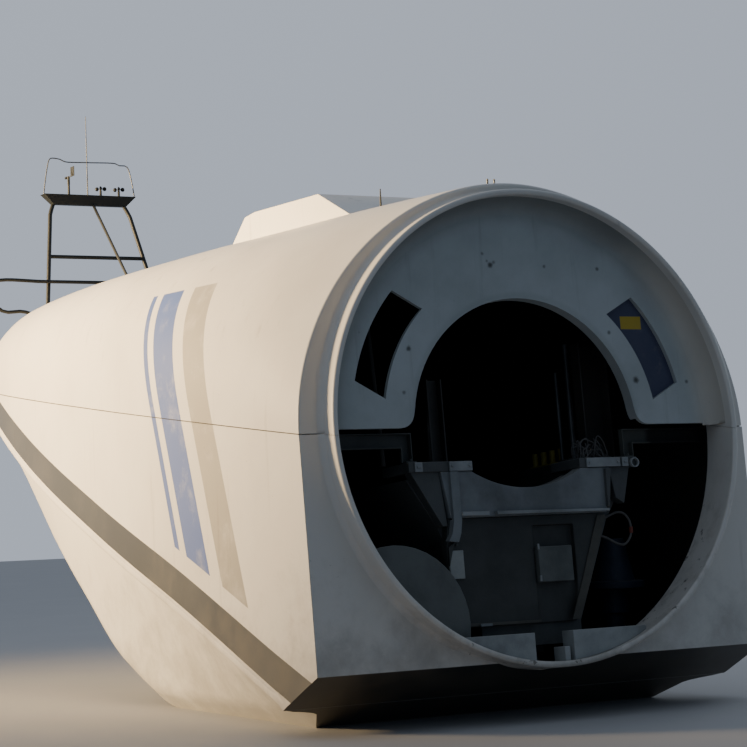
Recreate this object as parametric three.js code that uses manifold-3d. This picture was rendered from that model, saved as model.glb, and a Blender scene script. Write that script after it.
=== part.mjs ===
// Wind turbine nacelle, taken off its tower and stood on a level floor, with the rotor and drive train out.
// Millimetres, +Z up. The rotor end faces -Y and the tail points along +Y.
// The origin is under the middle of the nacelle's box, at the floor.
import * as THREE from "three";
import { mergeVertices } from "three/addons/utils/BufferGeometryUtils.js";
import Module from "manifold-3d";

const wasm = await Module();
wasm.setup();

// Driving dimensions
const GAP = 0.3; // running gap between pieces that touch
const RIM_R = 1840; // inner radius of the rotor collar at its lip
const COLLAR_WALL = 48;
const COLLAR_FLARE = 25; // how much wider the collar is at its back edge
const COLLAR_LENGTH = 386;
const COLLAR_REACH = 190; // how far the collar stands out of the front face
const ROTOR_TILT = THREE.MathUtils.degToRad(5);
const AXIS_HEIGHT = 2300; // rotor centre above the floor
const TAIL_Y = 9650; // tail end, measured back from the rotor centre
const SHELL = 40; // laminate sandwich of the covers
const SPLIT_SLOPE = 0.0975; // rise of the joint between upper and lower covers, towards the tail
const SPLIT_START = -55; // height of that joint at the rotor centre
const SEAM_Y = 4000; // joint across the upper covers and across the belly
const CHINE_STEP = 70; // how far the belly is set in below the side walls
const CHIN_TOP = [30, -1830]; // front face's bottom edge, as y and z
const CHIN_BACK = [970, -2300]; // where the raked chin reaches the belly
const BULKHEAD_AT = 243;
const BULKHEAD_WALL = 40;
const HOLE_R = 1047;
const TUBE_R = 24; // mast tubes

const FACETS = 88; // sides of the big rings, in step with each other
const COLLAR_R = RIM_R + COLLAR_WALL;
const LIP_Y = -(RIM_R + COLLAR_WALL / 2) * Math.sin(ROTOR_TILT); // foremost point of the lip
const FAR = 20000;

// Hull stations: distance behind the rotor centre, then the size there
const HALF_WIDTH = [[0, 2080], [800, 2100], [3000, 2070], [5000, 1960], [7000, 1760], [8500, 1500],
  [9300, 1230], [TAIL_Y, 950]];
const ROOF = [[0, 1940], [400, 1950], [1500, 1900], [3000, 1865], [6000, 1850], [8000, 1800], [9000, 1650],
  [TAIL_Y, 1420]];
const SHOULDER = [[0, 1.88], [400, 1.93], [1500, 2.5], [4000, 2.9], [8000, 2.8], [TAIL_Y, 2.4]]; // exponents
const CHINE = [[0, -2300], [620, -2077], [2430, -1451], [4300, -886], [6300, -274], [7970, 290], [9000, 640],
  [TAIL_Y, 800]];
const BELLY = [[0, -2300], [3500, -2300], [4300, -2060], [5300, -1520], [6300, -970], [7000, -560],
  [7500, -300], [8100, -50], [8700, 250], [9200, 480], [TAIL_Y, 620]];
const BELLY_HALF = [[0, 1750], [3000, 1760], [4300, 1780], [5500, 1720], [7000, 1570], [8500, 1300],
  [9300, 1020], [TAIL_Y, 760]];
const CORNER = 140; // height and width of the belly's corner bevels

// Materials
const paint = (color, roughness, metalness = 0) =>
  new THREE.MeshStandardMaterial({ color, roughness, metalness });
const HULL_WHITE = paint(0xd9d2c4, 0.45);
const FACE_GREY = paint(0x9a9d9c, 0.5);
const BULKHEAD_GREY = paint(0x76828c, 0.55);
const PANEL_BLUE = paint(0x343a52, 0.5);
const CASTING_GREY = paint(0x6b716f, 0.6, 0.2);
const DRIVE_BLUE = paint(0x2c3448, 0.5, 0.3);
const STUD_YELLOW = paint(0xb59b1e, 0.5);
const STEEL = paint(0x8a8c8a, 0.4, 0.9);
const MAST_GREY = paint(0x3a4040, 0.5, 0.6);

// Shape helpers
// A smooth value along a station table, by a monotone cubic between its rows.
function along(table, y) {
  const last = table.length - 1;
  if (y <= table[0][0]) return table[0][1];
  if (y >= table[last][0]) return table[last][1];
  const slope = (i) => (table[i + 1][1] - table[i][1]) / (table[i + 1][0] - table[i][0]);
  const tangent = (i) => {
    if (i === 0) return slope(0);
    if (i === last) return slope(last - 1);
    const before = slope(i - 1), after = slope(i);
    return before * after <= 0 ? 0 : (2 * before * after) / (before + after);
  };
  const i = table.findIndex((row) => y < row[0]) - 1;
  const run = table[i + 1][0] - table[i][0];
  const t = (y - table[i][0]) / run;
  const start = table[i][1], end = table[i + 1][1];
  return start * (1 + 2 * t) * (1 - t) ** 2 + end * t * t * (3 - 2 * t)
    + run * (tangent(i) * t * (1 - t) ** 2 - tangent(i + 1) * t * t * (1 - t));
}

// A closed body through loops of points that run the same way, capped flat at both ends.
function loft(loops) {
  const count = loops[0].length;
  const points = loops.flat();
  const index = [];
  for (let k = 0; k + 1 < loops.length; k++)
    for (let i = 0; i < count; i++) {
      const a = k * count + i, b = k * count + ((i + 1) % count);
      index.push(a, b, b + count, a, b + count, a + count);
    }
  const cap = (loop, offset, flip) => {
    const normal = new THREE.Vector3();
    loop.forEach((p, i) => normal.add(new THREE.Vector3().crossVectors(p, loop[(i + 1) % count])));
    normal.normalize();
    const side = new THREE.Vector3(1, 0, 0);
    if (Math.abs(normal.x) > 0.9) side.set(0, 1, 0);
    const u = side.clone().cross(normal).normalize(), v = normal.clone().cross(u);
    const flat = loop.map((p) => new THREE.Vector2(p.dot(u), p.dot(v)));
    for (const [a, b, c] of THREE.ShapeUtils.triangulateShape(flat, []))
      index.push(...(flip ? [offset + c, offset + b, offset + a] : [offset + a, offset + b, offset + c]));
  };
  cap(loops[0], 0, true);
  cap(loops.at(-1), (loops.length - 1) * count, false);
  const made = new THREE.BufferGeometry().setFromPoints(points);
  made.setIndex(index);
  return made;
}

// three.js geometry to a solid and back
function solid(geometry) {
  const plain = geometry.clone();
  plain.deleteAttribute("normal");
  plain.deleteAttribute("uv");
  const merged = mergeVertices(plain, 1e-3);
  let made = new wasm.Manifold(new wasm.Mesh({
    numProp: 3,
    vertProperties: merged.attributes.position.array,
    triVerts: new Uint32Array(merged.index.array),
  }));
  if (made.volume() < 0) {
    const turned = merged.index.array.slice().reverse();
    made = new wasm.Manifold(new wasm.Mesh({
      numProp: 3,
      vertProperties: merged.attributes.position.array,
      triVerts: new Uint32Array(turned),
    }));
  }
  return made;
}

function geometryOf(body) {
  const mesh = body.getMesh();
  const made = new THREE.BufferGeometry();
  const position = new Float32Array(mesh.numVert * 3);
  for (let i = 0; i < mesh.numVert; i++)
    position.set(mesh.vertProperties.subarray(i * mesh.numProp, i * mesh.numProp + 3), i * 3);
  made.setAttribute("position", new THREE.BufferAttribute(position, 3));
  made.setIndex(new THREE.BufferAttribute(mesh.triVerts, 1));
  made.computeVertexNormals();
  return made;
}

const join = (...bodies) => bodies.reduce((whole, next) => whole.add(next));

// A box from its lowest and highest corner
function block(low, high) {
  const size = high.map((v, i) => v - low[i]);
  return solid(new THREE.BoxGeometry(...size).translate(...high.map((v, i) => (v + low[i]) / 2)));
}

// A shape drawn in x and z, from y = near to y = far
function plate(shape, near, far, curveSegments = 24) {
  const made = new THREE.ExtrudeGeometry(shape, { depth: far - near, bevelEnabled: false, curveSegments });
  return solid(made.rotateX(Math.PI / 2).translate(0, far, 0));
}

// A shape drawn in y and z, across the whole width
function across(points, halfWidth = FAR) {
  const loop = (x) => points.map(([y, z]) => new THREE.Vector3(x, y, z));
  return solid(loft([loop(halfWidth), loop(-halfWidth)]));
}

const outline = (points) => new THREE.Shape(points.map(([x, z]) => new THREE.Vector2(x, z)));

// A round bar between two points
function bar(start, end, radius, sides = 12, endRadius = radius) {
  const from = new THREE.Vector3(...start), to = new THREE.Vector3(...end);
  const length = from.distanceTo(to);
  const made = new THREE.CylinderGeometry(endRadius, radius, length, sides).translate(0, length / 2, 0);
  const along = to.sub(from).normalize();
  const turn = new THREE.Quaternion().setFromUnitVectors(new THREE.Vector3(0, 1, 0), along);
  return solid(made.applyQuaternion(turn).translate(...start));
}

// A round tube through points, rounded at its bends
function bentBar(points, radius, steps, sides = 10) {
  const path = new THREE.CatmullRomCurve3(points.map((p) => new THREE.Vector3(...p)), false, "centripetal");
  const section = new THREE.Shape().absarc(0, 0, radius, 0, 2 * Math.PI);
  const made = new THREE.ExtrudeGeometry(section, { steps, extrudePath: path, curveSegments: sides });
  return solid(made);
}

// A closed profile of radius and y, turned all the way round the rotor axis
function turned(profile, sides = FACETS) {
  const points = [...profile, profile[0]].map(([r, y]) => new THREE.Vector2(r, y));
  return solid(new THREE.LatheGeometry(points, sides));
}

// A full disc round an axis along y, centred on x and z
function round(radius, near, far, x = 0, z = 0, sides = FACETS) {
  const made = new THREE.CylinderGeometry(radius, radius, far - near, sides);
  return solid(made.translate(x, (near + far) / 2, z));
}

// An upright cylinder or cone frustum that stands on its base point
function upright(base, radius, height, sides = 20, topRadius = radius) {
  const made = new THREE.CylinderGeometry(topRadius, radius, height, sides).rotateX(Math.PI / 2);
  return solid(made.translate(base[0], base[1], base[2] + height / 2));
}

// The scene graph: everything hangs on the rotor centre, and the rotor end leans back with the rotor's tilt
const nacelle = new THREE.Group();
nacelle.name = "nacelle";
const rotorCentre = new THREE.Group();
rotorCentre.position.set(0, -(TAIL_Y + LIP_Y) / 2, AXIS_HEIGHT);
nacelle.add(rotorCentre);
const rotorEnd = new THREE.Group();
rotorEnd.rotation.x = -ROTOR_TILT;
rotorCentre.add(rotorEnd);

function addTo(group, name, body, material, place = [0, 0, 0]) {
  const mesh = new THREE.Mesh(geometryOf(body), material);
  mesh.name = name;
  mesh.position.set(...place);
  group.add(mesh);
  return mesh;
}

// Leans a body made square to the rotor axis back by the rotor's tilt
const lean = (body) => {
  const c = Math.cos(-ROTOR_TILT), s = Math.sin(-ROTOR_TILT);
  return body.transform([1, 0, 0, 0, 0, c, s, 0, 0, -s, c, 0, 0, 0, 0, 1]);
};

// Covers: one hull lofted through its stations, hollowed, and cut along its joints
const ARC_STEPS = 9;
const STATIONS = [400, 900, 1500, 2300, 3500, 4300, 4900, 5500, 6200, 6900, 7600, 8200, 8700, 9100, 9400];
const SPACE = 500; // how far cutting bodies reach past what they cut
const splitAt = (y) => SPLIT_START + SPLIT_SLOPE * y;

function hullLoop(y, inset) {
  const w = along(HALF_WIDTH, y) - inset;
  const roof = along(ROOF, y) - inset;
  const split = splitAt(y);
  const chine = along(CHINE, y) + inset / 3;
  const belly = along(BELLY, y) + inset;
  const bend = 2 / along(SHOULDER, y);
  const right = [];
  for (let i = 0; i <= ARC_STEPS; i++) {
    const t = (i / ARC_STEPS) * (Math.PI / 2);
    right.push([w * Math.sin(t) ** bend, split + (roof - split) * Math.cos(t) ** bend]);
  }
  const step = w - CHINE_STEP;
  const stepZ = chine - CHINE_STEP / 2;
  const corner = Math.min(CORNER, (stepZ - belly) * 0.7);
  const bellyHalf = Math.min(along(BELLY_HALF, y) - inset, step - CHINE_STEP / 2);
  right.push([w, chine], [step, stepZ], [bellyHalf, belly + corner], [bellyHalf - corner, belly]);
  const left = right.slice(1).reverse().map(([x, z]) => [-x, z]);
  return [...right, ...left].map(([x, z]) => new THREE.Vector3(x, y, z));
}

const hullBody = (inset, tail) => solid(loft([-SPACE, ...STATIONS, tail].map((y) => hullLoop(y, inset))));

// The half space behind a plane square to the rotor axis
const behind = (y) => lean(block([-FAR / 4, y, -FAR / 4], [FAR / 4, FAR, FAR / 4]));

// What lies under the raked chin, with its slope lifted by the wall's thickness
const chinSlope = (CHIN_BACK[1] - CHIN_TOP[1]) / (CHIN_BACK[0] - CHIN_TOP[0]);
const chinCut = (lift) => {
  const start = CHIN_TOP[1] + lift;
  const reach = 4 * SPACE;
  return across([
    [-SPACE, start - chinSlope * -SPACE / 50],
    [CHIN_TOP[0], start],
    [CHIN_TOP[0] + reach, start + reach * chinSlope],
    [CHIN_TOP[0] + reach, -FAR / 4],
    [-SPACE, -FAR / 4],
  ]);
};

const closedHull = (inset) =>
  hullBody(inset, TAIL_Y - inset).intersect(behind(COLLAR_REACH + inset)).subtract(chinCut(inset));
const rotorOpening = lean(round(COLLAR_R + GAP, -SPACE, COLLAR_REACH + SHELL + SPACE));
const hull = closedHull(0).subtract(closedHull(SHELL)).subtract(rotorOpening);

const aboveSplit = (lift) => across([
  [-SPACE, splitAt(-SPACE) + lift],
  [-SPACE, FAR / 4],
  [TAIL_Y + SPACE, FAR / 4],
  [TAIL_Y + SPACE, splitAt(TAIL_Y + SPACE) + lift],
]);
const chineRows = [400, ...STATIONS.slice(1), TAIL_Y];
const chineJoint = (y, lift) => [y, along(CHINE, y) - CHINE_STEP / 4 + lift];
const aboveChine = (lift) => across([
  [-SPACE, -FAR / 4],
  [-SPACE, FAR / 4],
  [TAIL_Y + SPACE, FAR / 4],
  [TAIL_Y + SPACE, chineJoint(TAIL_Y, lift)[1]],
  ...chineRows.toReversed().map((y) => chineJoint(y, lift)),
  [SPACE / 5, -FAR / 4],
]);
const aheadOf = (y) => block([-FAR / 4, -SPACE, -FAR / 4], [FAR / 4, y, FAR / 4]);
const leftOf = (x) => block([-FAR / 4, -SPACE, -FAR / 4], [x, FAR, FAR / 4]);
const upper = hull.intersect(aboveSplit(GAP));
const lower = hull.subtract(aboveSplit(0)).intersect(aboveChine(GAP));
const belly = hull.subtract(aboveSplit(0)).subtract(aboveChine(0));
addTo(rotorCentre, "upper_cover_front", upper.intersect(aheadOf(SEAM_Y)), HULL_WHITE);
addTo(rotorCentre, "upper_cover_rear", upper.subtract(aheadOf(SEAM_Y + GAP)), HULL_WHITE);
addTo(rotorCentre, "lower_cover_left", lower.intersect(leftOf(-GAP / 2)), HULL_WHITE);
addTo(rotorCentre, "lower_cover_right", lower.subtract(leftOf(GAP / 2)), HULL_WHITE);
addTo(rotorCentre, "belly_front", belly.intersect(aheadOf(SEAM_Y)), HULL_WHITE);
addTo(rotorCentre, "belly_rear", belly.subtract(aheadOf(SEAM_Y + GAP)), HULL_WHITE);

// Rotor collar in two halves, with a rounded lip
const LIP_ROUND = 18;
const collarProfile = [
  [RIM_R, LIP_ROUND],
  [RIM_R + LIP_ROUND * 0.4, LIP_ROUND * 0.3],
  [RIM_R + COLLAR_WALL / 2, 0],
  [COLLAR_R - LIP_ROUND * 0.4, LIP_ROUND * 0.3],
  [COLLAR_R, LIP_ROUND],
  [COLLAR_R, COLLAR_LENGTH],
  [RIM_R + COLLAR_FLARE, COLLAR_LENGTH],
];
const collar = lean(turned(collarProfile));
addTo(rotorCentre, "front_collar_upper", collar.intersect(aboveSplit(GAP)), HULL_WHITE);
addTo(rotorCentre, "front_collar_lower", collar.subtract(aboveSplit(0)), HULL_WHITE);

// Upper front bulkhead: a half disc with a flanged shaft hole and two curved windows
const innerR = (y) => RIM_R + (COLLAR_FLARE * (y - LIP_ROUND)) / (COLLAR_LENGTH - LIP_ROUND);
const SEAT_R = innerR(BULKHEAD_AT) - GAP;
const HOLE_FLANGE = { wall: 25, length: 110 };
const BULKHEAD_BACK = BULKHEAD_AT + BULKHEAD_WALL;
const BULKHEAD_FOOT = 20;
const WINDOW = {
  middle: THREE.MathUtils.degToRad(28.8), halfLength: 403, height: 284, inner: { left: 1308, right: 1256 } };
// A curved window between two arcs round the rotor axis, with ends parallel to its middle line
function windowShape(side, lap = 0) {
  const inner = (side < 0 ? WINDOW.inner.left : WINDOW.inner.right) - lap;
  const middle = side < 0 ? Math.PI - WINDOW.middle : WINDOW.middle;
  const half = (radius) => Math.asin((WINDOW.halfLength + lap) / radius);
  const outer = inner + WINDOW.height + 2 * lap;
  const made = new THREE.Shape();
  made.absarc(0, 0, outer, middle - half(outer), middle + half(outer), false);
  made.absarc(0, 0, inner, middle + half(inner), middle - half(inner), true);
  return made;
}
const bulkheadDisc = turned([
  [HOLE_R, BULKHEAD_AT],
  [SEAT_R, BULKHEAD_AT],
  [SEAT_R, BULKHEAD_BACK],
  [HOLE_R + HOLE_FLANGE.wall, BULKHEAD_BACK],
  [HOLE_R + HOLE_FLANGE.wall, BULKHEAD_AT + HOLE_FLANGE.length],
  [HOLE_R, BULKHEAD_AT + HOLE_FLANGE.length],
]);
const aboveFoot = block([-FAR / 4, 0, BULKHEAD_FOOT], [FAR / 4, 2 * SPACE, FAR / 4]);
const windowAt = (side) => plate(windowShape(side), 0, SPACE, 8);
const CORNER_CUT = { edge: HOLE_R - 10, reach: 130, pull: 20 };
const cornerAt = (side) => {
  const { edge, reach, pull } = CORNER_CUT;
  const made = new THREE.Shape();
  made.moveTo(side * edge, 0);
  made.lineTo(side * (edge + reach), BULKHEAD_FOOT);
  made.quadraticCurveTo(side * (edge + pull), BULKHEAD_FOOT + pull / 4, side * edge, BULKHEAD_FOOT + reach);
  return plate(made, 0, SPACE, 6);
};
let bulkhead = bulkheadDisc.intersect(aboveFoot);
for (const side of [-1, 1]) bulkhead = bulkhead.subtract(windowAt(side)).subtract(cornerAt(side));
addTo(rotorEnd, "front_bulkhead", bulkhead, BULKHEAD_GREY);

// Closing panel behind the right window
const PANEL = { lap: 30, at: BULKHEAD_BACK + GAP, thick: 15 };
const panel = plate(windowShape(1, PANEL.lap), PANEL.at, PANEL.at + PANEL.thick, 8);
addTo(rotorEnd, "window_panel", panel, PANEL_BLUE);

// Sills and a post at the bottom of the collar
const SILL = { top: -1607, near: 90, far: 250 };
const collarFloor = round(innerR(SILL.near) - GAP, SILL.near, SILL.far);
const sill = (fromX, toX, top = SILL.top) =>
  block([fromX, SILL.near, -FAR / 4], [toX, SILL.far, top]).intersect(collarFloor);
addTo(rotorEnd, "collar_sill_left", sill(-840, -215), FACE_GREY);
addTo(rotorEnd, "collar_sill_right", sill(140, 840), FACE_GREY);
addTo(rotorEnd, "sill_post", sill(50, 100, -1728), FACE_GREY);

// Main frame: a trough whose side walls slope in, open on top, with a round base that stands on the yaw ring
const FRAME = { near: 450, far: 3300, wall: 60, top: -360, floor: -1700 };
const FRAME_HALF = { top: 1050, knee: 800, kneeZ: -740, foot: 470, footZ: -1530 };
const BASE = { y: 2260, radius: 1080, thick: 50, ringOuter: 1040, ringInner: 880, ringBack: 150 };
const SEAT = { radius: 1012, centreZ: 554 }; // seat of the main bearing
const mirrored = (right) => outline([...right, ...right.toReversed().map(([x, z]) => [-x, z])]);
const frameOutline = (inset, top, floor) => mirrored([
  [FRAME_HALF.top - inset, top],
  [FRAME_HALF.knee - inset, FRAME_HALF.kneeZ],
  [FRAME_HALF.foot - inset, FRAME_HALF.footZ],
  [FRAME_HALF.foot - inset, floor],
]);
const seatBore = (near, far) => round(SEAT.radius, near - 1, far + 1, 0, SEAT.centreZ);
const frameHollow = frameOutline(FRAME.wall, 0, FRAME.floor + FRAME.wall);
const trough = plate(frameOutline(0, FRAME.top, FRAME.floor), FRAME.near, FRAME.far)
  .subtract(plate(frameHollow, FRAME.near + FRAME.wall, FRAME.far - FRAME.wall))
  .subtract(seatBore(FRAME.near, FRAME.near + FRAME.wall));
const base = upright([0, BASE.y, FRAME.floor - BASE.thick], BASE.radius, BASE.thick + 1, 48);
addTo(rotorEnd, "machine_frame", join(trough, base), CASTING_GREY);

// Yaw ring between the frame's base and the belly
const BELLY_FLOOR = CHIN_BACK[1] + SHELL + GAP;
const underBase = lean(block([-FAR / 4, 0, -FAR / 4], [FAR / 4, FAR, FRAME.floor - BASE.thick - GAP]));
const ringBody = (radius) => upright([0, BASE.y - BASE.ringBack, BELLY_FLOOR], radius, 2 * SPACE, 48);
const yawRing = ringBody(BASE.ringOuter).subtract(ringBody(BASE.ringInner)).intersect(underBase);
addTo(rotorCentre, "yaw_ring", yawRing, CASTING_GREY);

// Cradle: the cross plate at the front of the frame, with the bearing's seat cut into it
const CRADLE = { near: 330, far: FRAME.near - GAP, topHalf: 800, bottomHalf: 735, top: -316, bottom: -680 };
const cradleOutline = mirrored([[CRADLE.topHalf, CRADLE.top], [CRADLE.bottomHalf, CRADLE.bottom]]);
const cradle = plate(cradleOutline, CRADLE.near, CRADLE.far).subtract(seatBore(CRADLE.near, CRADLE.far));
addTo(rotorEnd, "cradle_plate", cradle, CASTING_GREY);

// Front casting under the cradle, wider on the left, with a junction box and a cable plate on its face
const CASTING = { near: 370, top: CRADLE.bottom - GAP, foot: -1530 };
const RECESS = { left: 30, right: 420, depth: 45, top: -760 };
const casting = plate(
  outline([[-745, CASTING.top], [745, CASTING.top], [545, -1215], [410, CASTING.foot], [-640, CASTING.foot],
    [-775, -1180], [-775, -900]]), CASTING.near, FRAME.near - GAP);
const recessFace = CASTING.near + RECESS.depth;
const recess = block([RECESS.left, 0, -FAR / 4], [RECESS.right, recessFace, RECESS.top]);
addTo(rotorEnd, "front_casting", casting.subtract(recess), CASTING_GREY);
const onFace = (face, thick, [left, low], [right, high]) =>
  block([left, face - GAP - thick, low], [right, face - GAP, high]);
addTo(rotorEnd, "junction_box", onFace(recessFace, 85, [42, -1212], [362, -932]), FACE_GREY);
addTo(rotorEnd, "cable_plate", onFace(CASTING.near, 20, [-770, -1150], [-640, -930]), HULL_WHITE);

// Pedestals: bearers beside the bearing's seat, each a thick top plate on the cradle and a tapered gusset
const PEDESTAL = { inner: 510, outer: 1080, far: 750, thick: 80 };
const GUSSET_OUTLINE = {
  left: [[1060, 0], [805, -425], [760, -425], [803, 0]],
  right: [[1010, 0], [930, -300], [850, -250], [803, 0]],
};
const pedestalLow = CRADLE.top + GAP;
const pedestalTop = pedestalLow + PEDESTAL.thick;
function pedestal(side) {
  const top = block([PEDESTAL.inner, CRADLE.near, pedestalLow], [PEDESTAL.outer, PEDESTAL.far, pedestalTop]);
  const corners = side < 0 ? GUSSET_OUTLINE.left : GUSSET_OUTLINE.right;
  const gusset = plate(outline(corners.map(([x, z]) => [x, pedestalLow + 1 + z])), CRADLE.near + 20, CRADLE.far);
  const body = join(top, gusset);
  return side > 0 ? body : body.mirror([1, 0, 0]);
}

// Brackets that tie the covers to the pedestals: an arm from the wall and a leg that drops onto the pedestal
const BRACKET = { near: COLLAR_LENGTH + 6, deep: 60, inner: 1000, legOuter: 1100, top: 0, thick: 120 };
const insideSpace = hullBody(SHELL + GAP, TAIL_Y - SHELL - GAP).intersect(behind(COLLAR_REACH + SHELL + GAP));
function bracket(side) {
  const far = BRACKET.near + BRACKET.deep;
  const armLow = BRACKET.top - BRACKET.thick;
  const arm = block([BRACKET.inner, BRACKET.near, armLow], [FAR / 4, far, BRACKET.top]);
  const leg = block([BRACKET.inner, BRACKET.near, pedestalTop + GAP], [BRACKET.legOuter, far, armLow + 1]);
  const body = join(arm, leg);
  return lean(side > 0 ? body : body.mirror([1, 0, 0])).intersect(insideSpace);
}
for (const [side, label] of [[-1, "left"], [1, "right"]]) {
  addTo(rotorEnd, "frame_pedestal_" + label, pedestal(side), CASTING_GREY);
  addTo(rotorCentre, "cover_bracket_" + label, bracket(side), CASTING_GREY);
}

// Round duct cover in the lower left of the collar, seated on the collar's inside
const DUCT = { x: -1285, z: -1500, near: 300, wall: 40, radius: 630 };
const ductSeat = round(innerR(DUCT.near) - GAP, DUCT.near, DUCT.near + DUCT.wall);
const duct = round(DUCT.radius, DUCT.near, DUCT.near + DUCT.wall, DUCT.x, DUCT.z, 40).intersect(ductSeat);
addTo(rotorEnd, "duct_cover", duct, FACE_GREY);

// Yaw drive on the right: a motor and gear case with a wide flange, standing on the belly
const DRIVE = { x: 1340, y: 1080, flangeZ: -1360, flangeR: 270, flangeThick: 60 };
const DRIVE_CASE = { footR: 190, topR: 105, height: 360 };
const DRIVE_GEAR = { radius: 130, height: 210 };
const driveFoot = DRIVE.flangeZ - DRIVE_GEAR.height;
const onDrive = (z, ...size) => upright([DRIVE.x, DRIVE.y, z], ...size);
const drive = join(
  onDrive(DRIVE.flangeZ, DRIVE.flangeR, DRIVE.flangeThick, 28),
  onDrive(DRIVE.flangeZ + DRIVE.flangeThick - 1, DRIVE_CASE.footR, DRIVE_CASE.height, 24, DRIVE_CASE.topR),
  onDrive(driveFoot, DRIVE_GEAR.radius, DRIVE_GEAR.height + 1),
  onDrive(BELLY_FLOOR, DRIVE_GEAR.radius * 0.7, driveFoot - BELLY_FLOOR + 1),
);
addTo(rotorCentre, "yaw_drive", drive, DRIVE_BLUE);

// Gear support on the right wall of the frame, with capped studs on their washer strip and two guide rods
const SUPPORT = { near: 1000, far: 1850, inner: 900, outer: 1080, top: -180 };
const supportTop = SUPPORT.top + GAP;
const support = block([SUPPORT.inner, SUPPORT.near, FRAME.top + GAP], [SUPPORT.outer, SUPPORT.far, SUPPORT.top]);
addTo(rotorEnd, "gear_support", support, CASTING_GREY);
const STUD = { count: 4, x: 1000, firstY: 1300, pitch: 133, radius: 26, length: 130, strip: 20, stripHalf: 36 };
const lastStudY = STUD.firstY + (STUD.count - 1) * STUD.pitch;
let studs = block(
  [STUD.x - STUD.stripHalf, STUD.firstY - STUD.stripHalf, supportTop],
  [STUD.x + STUD.stripHalf, lastStudY + STUD.stripHalf, supportTop + STUD.strip]);
for (let i = 0; i < STUD.count; i++) {
  const foot = [STUD.x, STUD.firstY + i * STUD.pitch, supportTop + 1];
  studs = studs.add(upright(foot, STUD.radius, STUD.length, 12));
}
addTo(rotorEnd, "capped_studs", studs, STUD_YELLOW);
const RODS = [{ x: 1000, y: 1100, radius: 23, top: 820 }, { x: 940, y: 1190, radius: 18, top: 590 }];
let rods = block([915, 1060, supportTop], [1040, 1230, supportTop + 20]);
for (const rod of RODS)
  rods = rods.add(upright([rod.x, rod.y, supportTop + 1], rod.radius, rod.top - supportTop - 1, 14));
addTo(rotorEnd, "guide_rods", rods, STEEL);

// Roof hood: a ridge box with sloping ends, on the roof
const HOOD = { halfWidth: 740, front: 1500, rise: 2270, fall: 3700, back: 4100, top: 2100, foot: 1700 };
const hoodBody = across([
  [HOOD.front, HOOD.foot],
  [HOOD.front, HOOD.foot + 60],
  [HOOD.rise, HOOD.top],
  [HOOD.fall - 200, HOOD.top + 5],
  [HOOD.fall, HOOD.top - 20],
  [HOOD.back, HOOD.foot + 60],
  [HOOD.back, HOOD.foot],
], HOOD.halfWidth);
const roofSkin = hullBody(-GAP, TAIL_Y);
addTo(rotorCentre, "roof_hood", hoodBody.subtract(roofSkin), HULL_WHITE);

// Small antenna at the front of the roof and two pins over the collar
const roofAt = (y) => along(ROOF, y);
const ANTENNA = { x: -600, y: 1430, sunk: 200, length: 330, footR: 14, tipR: 5 };
const antennaFoot = [ANTENNA.x, ANTENNA.y, roofAt(ANTENNA.y) - ANTENNA.sunk];
const antenna = upright(antennaFoot, ANTENNA.footR, ANTENNA.length, 8, ANTENNA.tipR).subtract(roofSkin);
addTo(rotorCentre, "roof_antenna", antenna, MAST_GREY);
const PINS = { y: 520, xs: [-125, -60], radius: 9, rise: 55, pad: 30, padThick: 6, sunk: 20 };
const pinRoof = roofAt(PINS.y);
let pins = block(
  [PINS.xs[0] - PINS.pad, PINS.y - PINS.pad, pinRoof - 5 * PINS.sunk],
  [PINS.xs[1] + PINS.pad, PINS.y + PINS.pad, pinRoof + PINS.padThick]);
for (const x of PINS.xs)
  pins = pins.add(upright([x, PINS.y, pinRoof - PINS.sunk], PINS.radius, PINS.rise + PINS.sunk, 8));
addTo(rotorCentre, "roof_pins", pins.subtract(roofSkin), STEEL);

// Instrument mast on the tail: a goal-post that leans back, with a tray, a brace and a base rail
const FOOT = { x: 720, y: 8780, z: 1500 };
const HEAD = { x: 468, y: 9230, z: 2950 };
const LEG_TOP_X = 440; // the legs bend in a little under the tray
const mastAt = (z) => {
  const t = (z - FOOT.z) / (HEAD.z - FOOT.z);
  return [FOOT.x + (HEAD.x - FOOT.x) * t, FOOT.y + (HEAD.y - FOOT.y) * t, z];
};
const sideOf = ([x, y, z], side) => [side * x, y, z];
const CROSSBAR_Z = 2330;
const crossEnd = mastAt(CROSSBAR_Z);
const trayZone = block([-FAR / 4, 0, HEAD.z - GAP], [FAR / 4, FAR, HEAD.z + SPACE]);
const legRoute = [FOOT.z, 2200, HEAD.z - 230, HEAD.z - 110].map(mastAt);
legRoute.push([LEG_TOP_X, HEAD.y, HEAD.z], [LEG_TOP_X, HEAD.y + 10, HEAD.z + 60]);
const legBody = (side, radius) => bentBar(legRoute.map((p) => sideOf(p, side)), radius, 24, 10);
for (const [side, label] of [[-1, "left"], [1, "right"]]) {
  const leg = legBody(side, TUBE_R).subtract(trayZone).subtract(roofSkin);
  addTo(rotorCentre, "mast_leg_" + label, leg, MAST_GREY);
}
const legSpace = join(legBody(-1, TUBE_R + GAP), legBody(1, TUBE_R + GAP));
const crossbarPieces = bar(sideOf(crossEnd, -1), crossEnd, TUBE_R - 2).subtract(legSpace).decompose();
const [crossbar] = crossbarPieces.sort((a, b) => b.volume() - a.volume());
addTo(rotorCentre, "mast_crossbar", crossbar, MAST_GREY);

const BRACE = { top: [30, 9200, HEAD.z + 30], foot: [0, 7850, 1700], radius: 17 };
const brace = bar(BRACE.foot, BRACE.top, BRACE.radius, 10).subtract(roofSkin).subtract(trayZone);
addTo(rotorCentre, "mast_brace", brace, MAST_GREY);

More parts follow.
